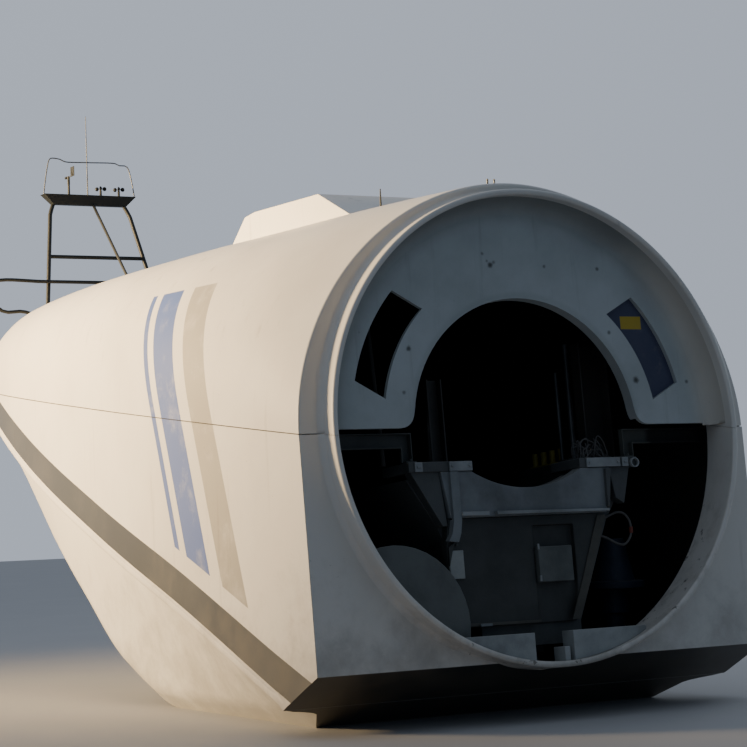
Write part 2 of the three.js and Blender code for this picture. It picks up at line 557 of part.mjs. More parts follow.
// Base rail: a bar in front of the legs whose ends bend down and back to the roof
const RAIL = { z: 2030, halfLength: 1250, drop: 340, radius: 20, foot: 740 };
const LEG_LEAN = Math.atan2(HEAD.y - FOOT.y, HEAD.z - FOOT.z);
const railY = mastAt(RAIL.z)[1] - (TUBE_R + RAIL.radius + GAP) / Math.cos(LEG_LEAN);
const railHalf = [
  [0, RAIL.z],
  [700, RAIL.z],
  [RAIL.halfLength, RAIL.z],
  [RAIL.halfLength + 110, RAIL.z - 60],
  [RAIL.halfLength + 90, RAIL.z - 190],
  [RAIL.halfLength - 60, RAIL.z - RAIL.drop],
  [950, RAIL.z - RAIL.drop],
  [800, RAIL.z - RAIL.drop - 60],
  [RAIL.foot, RAIL.z - RAIL.drop - 200],
];
const railRoute = [
  ...railHalf.slice(1).reverse().map(([x, z]) => [-x, railY, z]),
  ...railHalf.map(([x, z]) => [x, railY, z]),
];
addTo(rotorCentre, "mast_base_rail", bentBar(railRoute, RAIL.radius, 64, 8).subtract(roofSkin), MAST_GREY);

// Instrument tray: a shallow open tray whose sides slope out
const TRAY = { bottomHalf: 445, bottomDepth: 45, topHalf: 560, topDepth: 75, rise: 115, wall: 10 };
const trayLoop = (halfX, halfY, z) =>
  [[-1, -1], [1, -1], [1, 1], [-1, 1]].map(([i, j]) => new THREE.Vector3(i * halfX, HEAD.y + j * halfY, z));
const trayOuter = solid(loft([
  trayLoop(TRAY.bottomHalf, TRAY.bottomDepth, HEAD.z),
  trayLoop(TRAY.topHalf, TRAY.topDepth, HEAD.z + TRAY.rise),
]));
const trayInner = solid(loft([
  trayLoop(TRAY.bottomHalf - TRAY.wall, TRAY.bottomDepth - TRAY.wall, HEAD.z + TRAY.wall),
  trayLoop(TRAY.topHalf - TRAY.wall, TRAY.topDepth - TRAY.wall, HEAD.z + TRAY.rise + 1),
]));
addTo(rotorCentre, "instrument_tray", trayOuter.subtract(trayInner), MAST_GREY);

// Guard hoop: a wire that stands on the tray's ends and passes over the instruments
const RIM_Z = HEAD.z + TRAY.rise;
const HOOP = { radius: 7, y: HEAD.y - 30, top: 3446, shoulder: 3474, footX: TRAY.topHalf - TRAY.wall / 2 };
const hoopRoute = [
  [-HOOP.footX, RIM_Z - 20],
  [-HOOP.footX, RIM_Z + 10],
  [-490, HOOP.shoulder - 35],
  [-470, HOOP.shoulder],
  [-345, HOOP.shoulder - 6],
  [-300, HOOP.top],
  [0, HOOP.top],
  [340, HOOP.top],
  [370, HOOP.top - 18],
  [455, HOOP.top - 21],
  [486, HOOP.top - 46],
  [HOOP.footX, RIM_Z + 10],
  [HOOP.footX, RIM_Z - 20],
];
const underRim = block([-FAR / 4, 0, 0], [FAR / 4, FAR, RIM_Z + GAP]);
const hoop = bentBar(hoopRoute.map(([x, z]) => [x, HOOP.y, z]), HOOP.radius, 60, 6).subtract(underRim);
addTo(rotorCentre, "guard_hoop", hoop, STEEL);

// Lightning rod and the posts of the instruments, on the tray's floor
const DECK = HEAD.z + TRAY.wall + GAP;
const ROD = { x: -10, footR: 28, footHeight: 40, radius: 9, tipR: 4, top: 3985 };
const rodFoot = [ROD.x, HEAD.y, DECK];
const rod = join(
  upright(rodFoot, ROD.footR, ROD.footHeight, 12),
  upright(rodFoot, ROD.radius, ROD.top - DECK, 8, ROD.tipR),
);
addTo(rotorCentre, "lightning_rod", rod, STEEL);
const POST = { footR: 30, footHeight: 12, radius: 14 };
const post = (x, top) => join(
  upright([x, HEAD.y, DECK], POST.footR, POST.footHeight, 16),
  upright([x, HEAD.y, DECK], POST.radius, top - DECK, 12),
);
const VANE = { x: -240, pivot: 3190 };
const CUPS = [{ x: 150, pivot: 3130, label: "left" }, { x: 375, pivot: 3130, label: "right" }];
addTo(rotorCentre, "vane_post", post(VANE.x, VANE.pivot), MAST_GREY);
for (const cup of CUPS) addTo(rotorCentre, "cup_post_" + cup.label, post(cup.x, cup.pivot), MAST_GREY);

// Wind vane: a hub with an arm, a tail plate and a counterweight; it turns on its post
const vane = new THREE.Group();
vane.position.set(VANE.x, HEAD.y, VANE.pivot + GAP);
rotorCentre.add(vane);
const ARM_Z = 82;
const vaneBody = join(
  upright([0, 0, 0], 16, ARM_Z + 10, 14),
  bar([0, 80, ARM_Z], [0, -150, ARM_Z], 6, 8),
  bar([0, 50, ARM_Z], [0, 85, ARM_Z], 15, 12),
  block([-3, -175, ARM_Z - 6], [3, -70, ARM_Z + 104]),
);
addTo(vane, "wind_vane", vaneBody, MAST_GREY);

// Cup anemometers: three hemispherical cups on arms round a hub
const CUP = { arm: 50, radius: 25, wall: 4, hubR: 12, hubHeight: 44, steps: 5 };
const quarterArc = (radius) => Array.from({ length: CUP.steps + 1 }, (_, i) => {
  const t = (i / CUP.steps) * (Math.PI / 2);
  return new THREE.Vector2(radius * Math.cos(t), radius * Math.sin(t));
});
function cupRotor() {
  const mid = CUP.hubHeight / 2;
  const inner = CUP.radius - CUP.wall;
  const profile = [...quarterArc(CUP.radius), ...quarterArc(inner).reverse()];
  profile.push(profile[0].clone());
  const cup = solid(new THREE.LatheGeometry(profile, 12).translate(CUP.arm, 0, mid));
  const arm = bar([CUP.hubR - 3, 0, mid], [CUP.arm - inner - 1, 0, mid], 4, 6);
  let body = upright([0, 0, 0], CUP.hubR, CUP.hubHeight, 12);
  for (let k = 0; k < 3; k++) body = body.add(join(cup, arm).rotate([0, 0, 120 * k]));
  return body;
}
for (const cup of CUPS) {
  const spin = new THREE.Group();
  spin.position.set(cup.x, HEAD.y, cup.pivot + GAP);
  rotorCentre.add(spin);
  addTo(spin, "cup_rotor_" + cup.label, cupRotor(), MAST_GREY);
}

nacelle.updateMatrixWorld(true);
export default nacelle;
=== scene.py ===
import bmesh
import bpy
import numpy as np
from math import cos, pi, radians, sin
from mathutils import Matrix, Vector


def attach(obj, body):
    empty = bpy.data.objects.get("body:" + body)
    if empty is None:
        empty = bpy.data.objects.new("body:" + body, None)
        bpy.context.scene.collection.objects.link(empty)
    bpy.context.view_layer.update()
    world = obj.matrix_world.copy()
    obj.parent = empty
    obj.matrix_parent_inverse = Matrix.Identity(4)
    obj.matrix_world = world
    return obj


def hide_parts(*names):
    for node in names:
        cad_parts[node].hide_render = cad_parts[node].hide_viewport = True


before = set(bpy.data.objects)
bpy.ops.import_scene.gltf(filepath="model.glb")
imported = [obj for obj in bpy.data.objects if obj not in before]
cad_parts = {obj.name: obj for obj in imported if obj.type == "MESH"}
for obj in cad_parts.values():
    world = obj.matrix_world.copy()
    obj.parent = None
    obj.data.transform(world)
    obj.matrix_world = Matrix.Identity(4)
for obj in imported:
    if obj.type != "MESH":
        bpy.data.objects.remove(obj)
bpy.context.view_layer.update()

# Camera: stands off the left of the rotor end, low down, and looks a little up at the collar.
# The place, the turns and the lens come from fitting the collar, the shaft hole and the windows.
ROTOR_CENTRE = np.array([0.0, -4.743772, 2.3])
CAMERA_AT = ROTOR_CENTRE + (-9.74343, -14.55011, -0.54944)
CAMERA_YAW, CAMERA_PITCH, CAMERA_ROLL = 0.5137229, 0.0569319, -0.0360013
PICTURE_WIDTH, FOCAL_PIXELS = 747, 2232.153
SENSOR, FAR_CLIP = 36.0, 200.0

ahead = np.array([sin(CAMERA_YAW) * cos(CAMERA_PITCH), cos(CAMERA_YAW) * cos(CAMERA_PITCH),
                  sin(CAMERA_PITCH)])
level = np.array([cos(CAMERA_YAW), -sin(CAMERA_YAW), 0.0])
overhead = np.cross(level, ahead)
camera_right = level * cos(CAMERA_ROLL) + overhead * sin(CAMERA_ROLL)
camera_up = overhead * cos(CAMERA_ROLL) - level * sin(CAMERA_ROLL)
camera = bpy.data.objects.new("camera", bpy.data.cameras.new("camera"))
camera.data.sensor_width = SENSOR
camera.data.lens = SENSOR * (FOCAL_PIXELS / PICTURE_WIDTH)
camera.data.clip_end = FAR_CLIP
camera_turn = Matrix([[*row] for row in np.column_stack([camera_right, camera_up, -ahead])])
camera.matrix_world = Matrix.Translation(CAMERA_AT) @ camera_turn.to_4x4()
bpy.context.collection.objects.link(camera)
bpy.context.scene.camera = camera


# Floor and light: a plain pale floor, a soft sky that is brighter overhead and behind, and two soft lamps.
# The warm key lamp stands low on the left, a little behind the front face, so the left side is bright and
# the face and the inside are in shade. The cool one on the right only fills.
class Wire:
    """A value, colour or vector on its way through a material. An operator on it adds a Math node, and |
    takes the larger of two values."""

    def __init__(self, finish, socket):
        self.finish, self.socket = finish, socket

    def _math(self, operation, first, second=0.0):
        return self.finish.add("ShaderNodeMath", {"operation": operation}, {0: first, 1: second})

    def __add__(self, other):
        return self._math("ADD", self, other)

    def __sub__(self, other):
        return self._math("SUBTRACT", self, other)

    def __rsub__(self, other):
        return self._math("SUBTRACT", other, self)

    def __mul__(self, other):
        return self._math("MULTIPLY", self, other)

    def __pow__(self, other):
        return self._math("POWER", self, other)

    def __abs__(self):
        return self._math("ABSOLUTE", self)

    def __or__(self, other):
        return self._math("MAXIMUM", self, other)

    __radd__, __rmul__ = __add__, __mul__


class Finish:
    """A material or a sky in the making, with its last shader and the piece's own coordinates in metres."""

    def __init__(self, name, kind=bpy.data.materials, shader="Principled BSDF"):
        self.material = kind.new(name)
        self.material.use_nodes = True
        self.tree = self.material.node_tree
        self.shader = self.tree.nodes[shader]
        self.place = self.add("ShaderNodeTexCoord", out="Object")
        from_rotor = self.add("ShaderNodeVectorMath", {"operation": "SUBTRACT"},
                              {0: self.place, 1: tuple(ROTOR_CENTRE)})
        self.side, self.back, self.height = (
            self.add("ShaderNodeSeparateXYZ", sockets={0: from_rotor}, out=axis) for axis in "XYZ")

    def add(self, kind, settings=None, sockets=None, out=0):
        """Adds a node: its settings first, then the values or links of its sockets."""
        node = self.tree.nodes.new(kind)
        for key, value in (settings or {}).items():
            setattr(node, key, value)
        for key, value in (sockets or {}).items():
            self.feed(node.inputs[key], value)
        return Wire(self, node.outputs[out])

    def feed(self, socket, value):
        """Links a wire to a socket, or sets a plain value on it."""
        if isinstance(value, Wire):
            self.tree.links.new(value.socket, socket)
        elif socket.type == "RGBA":
            socket.default_value = (*value, 1.0)[:4]
        else:
            socket.default_value = value

    def set(self, **sockets):
        """Feeds the shader's own sockets; an underscore stands for a space in their names."""
        for key, value in sockets.items():
            self.feed(self.shader.inputs[key.replace("_", " ")], value)
        return self

    def noise(self, scale, detail=4.0, rough=0.55, stretch=(1, 1, 1), warp=0.0, shift=(0, 0, 0)):
        """Cloudy noise from 0 to 1, with scale cycles to the metre, packed tighter on an axis by stretch."""
        spot = self.add("ShaderNodeMapping", sockets={
            "Vector": self.place, "Scale": stretch, "Location": shift})
        return self.add("ShaderNodeTexNoise", sockets={
            "Vector": spot, "Scale": scale, "Detail": detail, "Roughness": rough, "Distortion": warp})

    def step(self, value, low, high):
        """Rises smoothly from 0 to 1 as value goes from low to high."""
        return self.add("ShaderNodeMapRange", {"interpolation_type": "SMOOTHSTEP"}, {
            "Value": value, "From Min": low, "From Max": high})

    def band(self, value, low, high, soft):
        """1 where value is from low to high, with edges that are twice soft wide."""
        return self.step(value, low - soft, low + soft) * (1 - self.step(value, high - soft, high + soft))

    def blend(self, share, first, second):
        """The first colour where share is 0 and the second where it is 1."""
        return self.add("ShaderNodeMix", {"data_type": "RGBA"}, {0: share, 6: first, 7: second}, out=2)

    def relief(self, height, depth, under=None):
        """A bump whose full height is depth in metres, on top of another bump."""
        sockets = {"Height": height, "Distance": depth, "Strength": 1.0}
        if under is not None:
            sockets["Normal"] = under
        return self.add("ShaderNodeBump", sockets=sockets, out="Normal")

    def attribute(self, name):
        """The value of the mesh's own attribute."""
        return self.add("ShaderNodeAttribute", {"attribute_name": name}, out="Fac")

    def facing(self, axis):
        """How far the surface looks along an axis, from -1 to 1."""
        normal = self.add("ShaderNodeNewGeometry", out="Normal")
        return self.add("ShaderNodeSeparateXYZ", sockets={0: normal}, out=axis)


def dress(piece, finish, slot, *nodes, body="root"):
    """Gives a piece its finish, its body and the CAD nodes that it stands for, which it hides. The slot is
    not used.
    """
    if not piece.data.materials:
        piece.data.materials.append(finish.material)
    piece.data.materials[0] = finish.material
    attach(piece, body)
    if nodes:
        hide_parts(*nodes)
    return piece


def clouded(name, noise, first, second, roughness, depth=0.0):
    """A finish that drifts from one colour to another with a noise, which also stands out by depth."""
    made = Finish(name)
    cloud = made.noise(*noise)
    if depth:
        made.set(Normal=made.relief(cloud, depth))
    return made.set(Base_Color=made.blend(cloud, first, second), Roughness=roughness)


floor_finish = clouded("floor_plaster", (0.8, 3.0), (0.38, 0.38, 0.385), (0.42, 0.42, 0.42), 0.9)
FLOOR_HALF = 60.0
floor_mesh = bpy.data.meshes.new("floor")
floor_corners = [(i * FLOOR_HALF, j * FLOOR_HALF, 0.0) for i, j in ((-1, -1), (1, -1), (1, 1), (-1, 1))]
floor_mesh.from_pydata(floor_corners, [], [(0, 1, 2, 3)])
floor_mesh.materials.append(floor_finish.material)
floor = bpy.data.objects.new("floor", floor_mesh)
bpy.context.collection.objects.link(floor)

sky = Finish("soft_sky", bpy.data.worlds, "Background")
bpy.context.scene.world = sky.material
direction = sky.add("ShaderNodeTexCoord", out="Generated")
forward, upward = (sky.add("ShaderNodeSeparateXYZ", sockets={0: direction}, out=axis) for axis in "YZ")
SKY_BEHIND, SKY_ABOVE, SKY_MIDDLE = 0.54, 0.22, 0.46  # how the sky's brightness grows with the direction
brightness = (forward * SKY_BEHIND + upward * SKY_ABOVE + SKY_MIDDLE) | 0.0
sky.set(Color=sky.blend(brightness, (0.054, 0.087, 0.130), (0.475, 0.525, 0.615)), Strength=1.0)


def lamp(name, place, target, width, height, watts, colour, spread=180):
    """An area lamp at place that faces target, with a beam of so many degrees."""
    made = bpy.data.lights.new(name, "AREA")
    made.shape, made.size, made.size_y = "RECTANGLE", width, height
    made.energy, made.color, made.spread = watts, colour, radians(spread)
    shown = bpy.data.objects.new(name, made)
    shown.location = place
    shown.rotation_euler = Vector(np.subtract(target, place)).to_track_quat("-Z", "Y").to_euler()
    bpy.context.collection.objects.link(shown)


lamp("key_lamp", (-17.6, 7.8, 6.2), (0, 0.6, 4.8), 6.0, 3.0, 1750.0, (1.0, 0.71, 0.37), spread=44)
lamp("right_lamp", (17.0, 3.0, 9.0), (0, 0, 2.0), 8.0, 8.0, 350.0, (0.85, 0.93, 1.0))

# Hull covers: glass-fibre sandwich mouldings with a white gelcoat, bolted edge to edge along thin joints.
# Two upper covers run from the front face to the tail. The side walls end in a rolled lip above the belly.
# Each table gives (distance behind the rotor centre, value) in metres, and for SHOULDER the curve's power.
HALF_WIDTH = [[0, 2.080], [0.8, 2.100], [3, 2.070], [5, 1.960], [7, 1.760], [8.5, 1.500], [9.3, 1.230],
              [9.65, 0.950]]
ROOF = [[0, 1.940], [0.4, 1.950], [1.5, 1.900], [3, 1.865], [6, 1.850], [8, 1.800], [9, 1.650], [9.65, 1.420]]
SHOULDER = [[0, 1.88], [0.4, 1.93], [1.5, 2.5], [4, 2.9], [8, 2.8], [9.65, 2.4]]
CHINE = [[0, -2.300], [0.62, -2.077], [2.43, -1.451], [4.3, -0.886], [6.3, -0.274], [7.97, 0.290], [9, 0.640],
         [9.65, 0.800]]
BELLY = [[0, -2.300], [3.5, -2.300], [4.3, -2.060], [5.3, -1.520], [6.3, -0.970], [7, -0.560], [7.5, -0.300],
         [8.1, -0.050], [8.7, 0.250], [9.2, 0.480], [9.65, 0.620]]
BELLY_HALF = [[0, 1.750], [3, 1.760], [4.3, 1.780], [5.5, 1.720], [7, 1.570], [8.5, 1.300], [9.3, 1.020],
              [9.65, 0.760]]
TAIL, SEAM, JOINT_GAP, WALL = 9.65, 4.0, 0.0003, 0.040
TILT, FACE_AT, COLLAR_OUTER = radians(5), 0.190, 1.888
FACE_FOOT, CHIN_SLOPE, CHIN_START, CHIN_END = -1.830, -0.5, 0.030, 0.970
CHINE_STEP, BELLY_CORNER, FAR_BELOW = 0.070, 0.140, -9
SPLIT_AT_ROTOR, SPLIT_RISE = -0.055, 0.0975


def along(table, y):
    """A smooth value along a table of stations: a monotone cubic, whose slope at a station is the harmonic
    mean of the slopes on its two sides, or 0 where they differ in sign."""
    at, value = np.array(table).T
    run = np.diff(at)
    slope = np.diff(value) / run
    before, after = slope[:-1], slope[1:]
    same = before * after > 0
    inner = np.where(same, 2 * before * after / np.where(same, before + after, 1), 0)
    tangent = np.concatenate([slope[:1], inner, slope[-1:]])
    y = np.clip(y, at[0], at[-1])
    i = np.clip(np.searchsorted(at, y, side="right") - 1, 0, len(run) - 1)
    t = (y - at[i]) / run[i]
    return (value[i] * (1 + 2 * t) * (1 - t) ** 2 + value[i + 1] * t * t * (3 - 2 * t)
            + run[i] * (tangent[i] * t * (1 - t) ** 2 - tangent[i + 1] * t * t * (1 - t)))


def split_at(y):
    """Height of the joint between the upper and lower covers: a straight line that rises to the tail."""
    return SPLIT_AT_ROTOR + SPLIT_RISE * y


def shoulder_point(turn, y):
    """Upper hull: a superellipse over the joint, from turn 1 at the right joint over the roof to -1 at the
    left. Its side is the half width times the sine, and its height the rise times the cosine, each to the
    power 2 / n."""
    bend = 2 / along(SHOULDER, y)
    split = split_at(y)
    angle = np.abs(turn) * pi / 2
    x = np.sign(turn) * along(HALF_WIDTH, y) * np.sin(angle) ** bend
    z = split + (along(ROOF, y) - split) * np.clip(np.cos(angle), 0, 1) ** bend
    return np.stack(np.broadcast_arrays(x, y, z), axis=-1)


def face_y(z):
    """How far back the leaning front face is at height z."""
    return (FACE_AT + sin(TILT) * z) / cos(TILT)


def square_to_rotor(x, y, z):
    """Turns points that are measured square to the rotor axis, which leans back, to level ones."""
    x, y, z = np.broadcast_arrays(x, y, z)
    return np.stack([x, cos(TILT) * y + sin(TILT) * z, cos(TILT) * z - sin(TILT) * y], axis=-1)


def strip(first, second, shares):
    """A ruled patch: rows of points that go from one edge line to another by the given shares."""
    shares = np.asarray(shares)[:, None, None]
    return first[None] * (1 - shares) + second[None] * shares


def round_axis(radius, depth, turn):
    """Level points at a radius, a depth and an angle round the rotor axis."""
    return square_to_rotor(radius * np.cos(turn), depth, radius * np.sin(turn))


def fan(line, point, shares=(0, 1)):
    """A ruled patch from a line of points to one point."""
    return strip(line, np.broadcast_to(point, line.shape), shares)


def skin(name, patches, inside=(0.0, 4.0, -0.2), wall=0.0, ease=0.0, ease_angle=40, segments=2, smooth=35,
         weld=0.0004, closed=False):
    """One mesh of grid patches whose points within weld of each other are merged. A patch is turned where its
    faces look towards the inside point on average, and a closed body is turned to face outwards as a whole.
    A wall grows inwards, and edges sharper than ease_angle are rounded by ease."""
    points, faces, start = [], [], 0
    centre = np.asarray(inside)
    for patch in patches:
        rows, columns = patch.shape[:2]
        index = start + np.arange(rows * columns).reshape(rows, columns)
        quads = np.stack([index[:-1, :-1], index[1:, :-1], index[1:, 1:], index[:-1, 1:]], axis=-1)
        quads = quads.reshape(-1, 4)
        facing = np.cross(patch[1:, 1:] - patch[:-1, :-1], patch[:-1, 1:] - patch[1:, :-1])
        middle = (patch[1:, 1:] + patch[:-1, :-1]) / 2 - centre
        if np.sum(facing * middle) < 0:
            quads = quads[:, ::-1]
        points.append(patch.reshape(-1, 3))
        faces.append(quads)
        start += rows * columns
    place = np.concatenate(points) + ROTOR_CENTRE
    mesh = bpy.data.meshes.new(name)
    mesh.from_pydata(place, [], np.concatenate(faces).tolist())
    shape = bmesh.new()
    shape.from_mesh(mesh)
    bmesh.ops.remove_doubles(shape, verts=shape.verts, dist=weld)
    bmesh.ops.dissolve_degenerate(shape, edges=shape.edges, dist=1e-5)
    if closed:
        bmesh.ops.recalc_face_normals(shape, faces=shape.faces)
        if shape.calc_volume(signed=True) < 0:
            bmesh.ops.reverse_faces(shape, faces=shape.faces)
    shape.to_mesh(mesh)
    shape.free()
    piece = bpy.data.objects.new(name, mesh)
    bpy.context.collection.objects.link(piece)
    if wall:
        walls = piece.modifiers.new("wall", "SOLIDIFY")
        walls.thickness, walls.offset, walls.use_even_offset, walls.use_rim = wall, -1.0, True, True
        walls.material_offset = 1
        mesh.materials.append(cover_finish.material)
        mesh.materials.append(inside_shade_finish.material)
    return settle(piece, ease, ease_angle, segments, smooth)


def settle(piece, ease, ease_angle=40, segments=2, smooth=35):
    """Rounds a piece's sharp edges, applies what is on it, and shades it smooth up to an angle. Where no
    edge is rounded, the sharp ones are marked first, so that the weighted normals keep them."""
    if ease:
        bevel = piece.modifiers.new("ease", "BEVEL")
        bevel.width, bevel.segments, bevel.limit_method = ease, segments, "ANGLE"
        bevel.angle_limit, bevel.miter_outer, bevel.use_clamp_overlap = radians(ease_angle), "MITER_ARC", True
    piece.data.polygons.foreach_set("use_smooth", np.ones(len(piece.data.polygons), bool))
    if not ease:
        piece.data.set_sharp_from_angle(angle=radians(smooth))
    weight = piece.modifiers.new("weight", "WEIGHTED_NORMAL")
    weight.keep_sharp = True
    drawn = piece.evaluated_get(bpy.context.evaluated_depsgraph_get())
    final = bpy.data.meshes.new_from_object(drawn)
    final.name = piece.name
    piece.modifiers.clear()
    piece.data = final
    final.polygons.foreach_set("use_smooth", np.ones(len(final.polygons), bool))
    final.set_sharp_from_angle(angle=radians(smooth))
    return piece


def mark(piece, name, value_of):
    """Stores a value of each point, worked out from its place measured from the rotor centre."""
    place = np.empty(len(piece.data.vertices) * 3)
    piece.data.vertices.foreach_get("co", place)
    x, y, z = (place.reshape(-1, 3) - ROTOR_CENTRE).T
    stored = piece.data.attributes.new(name, "FLOAT", "POINT")
    stored.data.foreach_set("value", value_of(x, y, z).astype(np.float32))


GELCOAT, GELCOAT_WORN, GRIME = (0.74, 0.715, 0.66), (0.64, 0.615, 0.57), (0.15, 0.13, 0.10)
STRIPE, STRIPE_CHALKY, STRIPE_FOOT, STRIPE_HEAD = (0.048, 0.050, 0.049), (0.10, 0.098, 0.09), 0.100, 0.385
BAND_BLUE, BAND_GREY = (0.085, 0.135, 0.36), (0.36, 0.335, 0.285)
BAND_FOOT, BAND_HEAD, BAND_LEAN = 0.5575, 1.300, 0.38
BANDS = ((1.62, 2.02, BAND_GREY), (2.22, 2.62, BAND_BLUE), (2.74, 2.83, BAND_BLUE))
# The chin's colour is near black: the stripe's dark paint, deepened as painted shade of the underside.
CHIN_PAINT_IN_SHADE, CHIN_DUSTY, CHIP = (0.012, 0.013, 0.012), (0.032, 0.030, 0.024), (0.055, 0.050, 0.045)


def gelcoat(name, livery=False, chin=False, chipped=False):
    """White gelcoat with a faint mottle, rain streaks, dirt low down, specks and a soft ripple. The covers
    with livery also carry a dark stripe over the chine and plain slanted bands on the sides, those with a
    chin carry dark paint like the stripe's on their raked front, made near black as painted shade of the
    underside, and chipped gelcoat is knocked and dirty low down."""
    made = Finish(name)
    height = made.height
    mottle = made.noise(0.7, 5.0, 0.6)
    colour = made.blend(made.step(mottle, 0.35, 0.75), GELCOAT, GELCOAT_WORN)
    if livery:
        lift = made.attribute("chine_lift")
        edge = made.noise(60.0, 2.0) * 0.004
        lean = made.back - height * BAND_LEAN
        span = made.step(lift + edge, BAND_FOOT - 0.0025, BAND_FOOT + 0.0025) * (
            1 - made.step(height, BAND_HEAD - 0.005, BAND_HEAD + 0.005))
        for low, high, paint in BANDS:
            faded = made.blend(made.step(made.noise(3.0, 6.0, 0.7), 0.5, 0.8) * 0.35, paint, GELCOAT)
            inside = made.band(lean + edge, low + 0.002, high + 0.002, 0.002) * span
            colour = made.blend(inside, colour, faded)
        chalk = made.blend(made.step(made.noise(1.3, 6.0, 0.65), 0.4, 0.8) * 0.5, STRIPE, STRIPE_CHALKY)
        colour = made.blend(made.band(lift + edge, STRIPE_FOOT, STRIPE_HEAD, 0.002), colour, chalk)
    if chin:
        # The raked chin: dark paint made near black as painted shade, with some dust over it.
        raked = made.step(0 - made.facing("Y"), 0.25, 0.40) * made.step(0 - made.facing("Z"), 0.35, 0.50)
        raked = raked * (1 - made.step(height, FACE_FOOT - 0.01, FACE_FOOT + 0.03))
        chin_paint_shade = made.blend(made.step(made.noise(1.9, 6.0, 0.7), 0.4, 0.8), CHIN_PAINT_IN_SHADE, CHIN_DUSTY)
        colour = made.blend(raked, colour, chin_paint_shade)
    if chipped:
        low = made.step(made.side * 0.35 - height, 0.75, 1.75)
        chips = made.step(made.noise(8.0, 7.0, 0.72), 0.612, 0.628) * low
        colour = made.blend(made.step(made.noise(3.5, 6.0, 0.7), 0.45, 0.72) * low * 0.45, colour, GRIME)
        colour = made.blend(chips * 0.8, colour, CHIP)
    streaks = made.noise(1.0, 5.0, 0.6, stretch=(9.0, 9.0, 0.35))
    runs = made.step(streaks, 0.56, 0.78) * made.step(made.noise(0.5, 3.0, 0.5), 0.42, 0.6)
    low_dirt = made.step(made.noise(2.2, 7.0, 0.7) * 0.9 - height * 0.28, 0.75, 1.15)
    specks = made.step(made.noise(38.0, 2.0, 0.5), 0.70, 0.76) * made.step(made.noise(1.1, 2.0), 0.5, 0.7)
    dirt = ((runs * 0.30) | (low_dirt * 0.42)) | (specks * 0.35)
    colour = made.blend(dirt, colour, GRIME)
    peel = made.relief(made.noise(160.0, 1.0), 0.0004)
    ripple = made.relief(made.noise(1.6, 2.0, 0.4), 0.004, peel)
    return made.set(Base_Color=colour, Roughness=0.34 + mottle * 0.14 + dirt * 0.4, Normal=ripple,
                    Coat_Weight=0.15, Coat_Roughness=0.2)


cover_finish = gelcoat("gelcoat_covers", livery=True, chin=True)
belly_finish = gelcoat("gelcoat_belly", chin=True)
# Inside of the covers and their cut edges: near-black laminate, a painted shade for the hull's closed inside.
inside_shade_finish = clouded("inner_laminate_shade", (14.0, 5.0, 0.65), (0.020, 0.020, 0.019), (0.045, 0.043, 0.038),
                          0.7, depth=0.003)

# The upper cover's front outline: the hull's curve where it meets the leaning face, found in a few rounds.
# The collar's opening is divided into as many points, in step with the outline's own angle.
JOINT_OPEN = 0.004  # half of the joint's width, where its seal shows
turns = np.linspace(-1, 1, 121)
turns = np.sign(turns) * np.abs(turns) ** 1.15  # closer together over the roof
front_line = np.full(turns.shape, FACE_AT)
for _ in range(6):
    front_line = face_y(shoulder_point(turns, front_line)[:, 2])
joint_lift = np.array([0.0, 0.0, JOINT_OPEN])
front_edge = shoulder_point(turns, front_line) + joint_lift
face_height = (front_edge[:, 2] + sin(TILT) * FACE_AT) / cos(TILT)
outline_angle = pi / 2 - np.arctan2(front_edge[:, 0], face_height)
opening = COLLAR_OUTER + JOINT_GAP
end_angle = np.arcsin(face_height[-1] / opening)
opening_angle = (end_angle + (outline_angle - outline_angle[-1])
                 * (pi - 2 * end_angle) / (outline_angle[0] - outline_angle[-1]))
opening_edge = round_axis(opening, FACE_AT, opening_angle)


def unit(vectors):
    """Each row's vector, made one long."""
    return vectors / np.linalg.norm(vectors, axis=-1, keepdims=True)


# The front edge is a quarter round, larger over the roof: it leaves the side tangent to it and runs into the
# front face.
EDGE_ROUND, ROOF_ROUND = 0.012, 0.020
face_width = np.linalg.norm(opening_edge - front_edge, axis=1)
front_round = np.minimum(EDGE_ROUND + ROOF_ROUND * (1 - np.abs(turns)), face_width * 0.5)[:, None]
to_back = unit(shoulder_point(turns, front_line + 0.08) + joint_lift - front_edge)
to_opening = unit(opening_edge - front_edge)
quarter = np.linspace(0, pi / 2, 9)[:, None, None]
rounded = front_edge + front_round * ((1 - np.sin(quarter)) * to_back + (1 - np.cos(quarter)) * to_opening)
side_start = front_line + front_round[:, 0] * to_back[:, 1]
cover_y = side_start + (SEAM - side_start) * np.linspace(0, 1, 64)[:, None]
front_cover = shoulder_point(turns, cover_y) + joint_lift
front_cover[0] = rounded[0]
front_face = strip(rounded[-1], opening_edge, np.linspace(0, 1, 8))
upper_front = skin("upper_cover_front_skin", [front_cover, rounded, front_face], wall=WALL, ease=0.005)

rear_y = SEAM + JOINT_GAP + (TAIL - SEAM - JOINT_GAP) * np.linspace(0, 1, 90) ** 0.85
rear_cover = shoulder_point(turns[None], rear_y[:, None]) + joint_lift
tail_middle = np.array([0.0, TAIL, split_at(TAIL) + JOINT_OPEN])
tail_cap = fan(rear_cover[-1], tail_middle, np.linspace(0, 1, 12))
upper_rear = skin("upper_cover_rear_skin", [rear_cover, tail_cap], wall=WALL, ease=0.005)

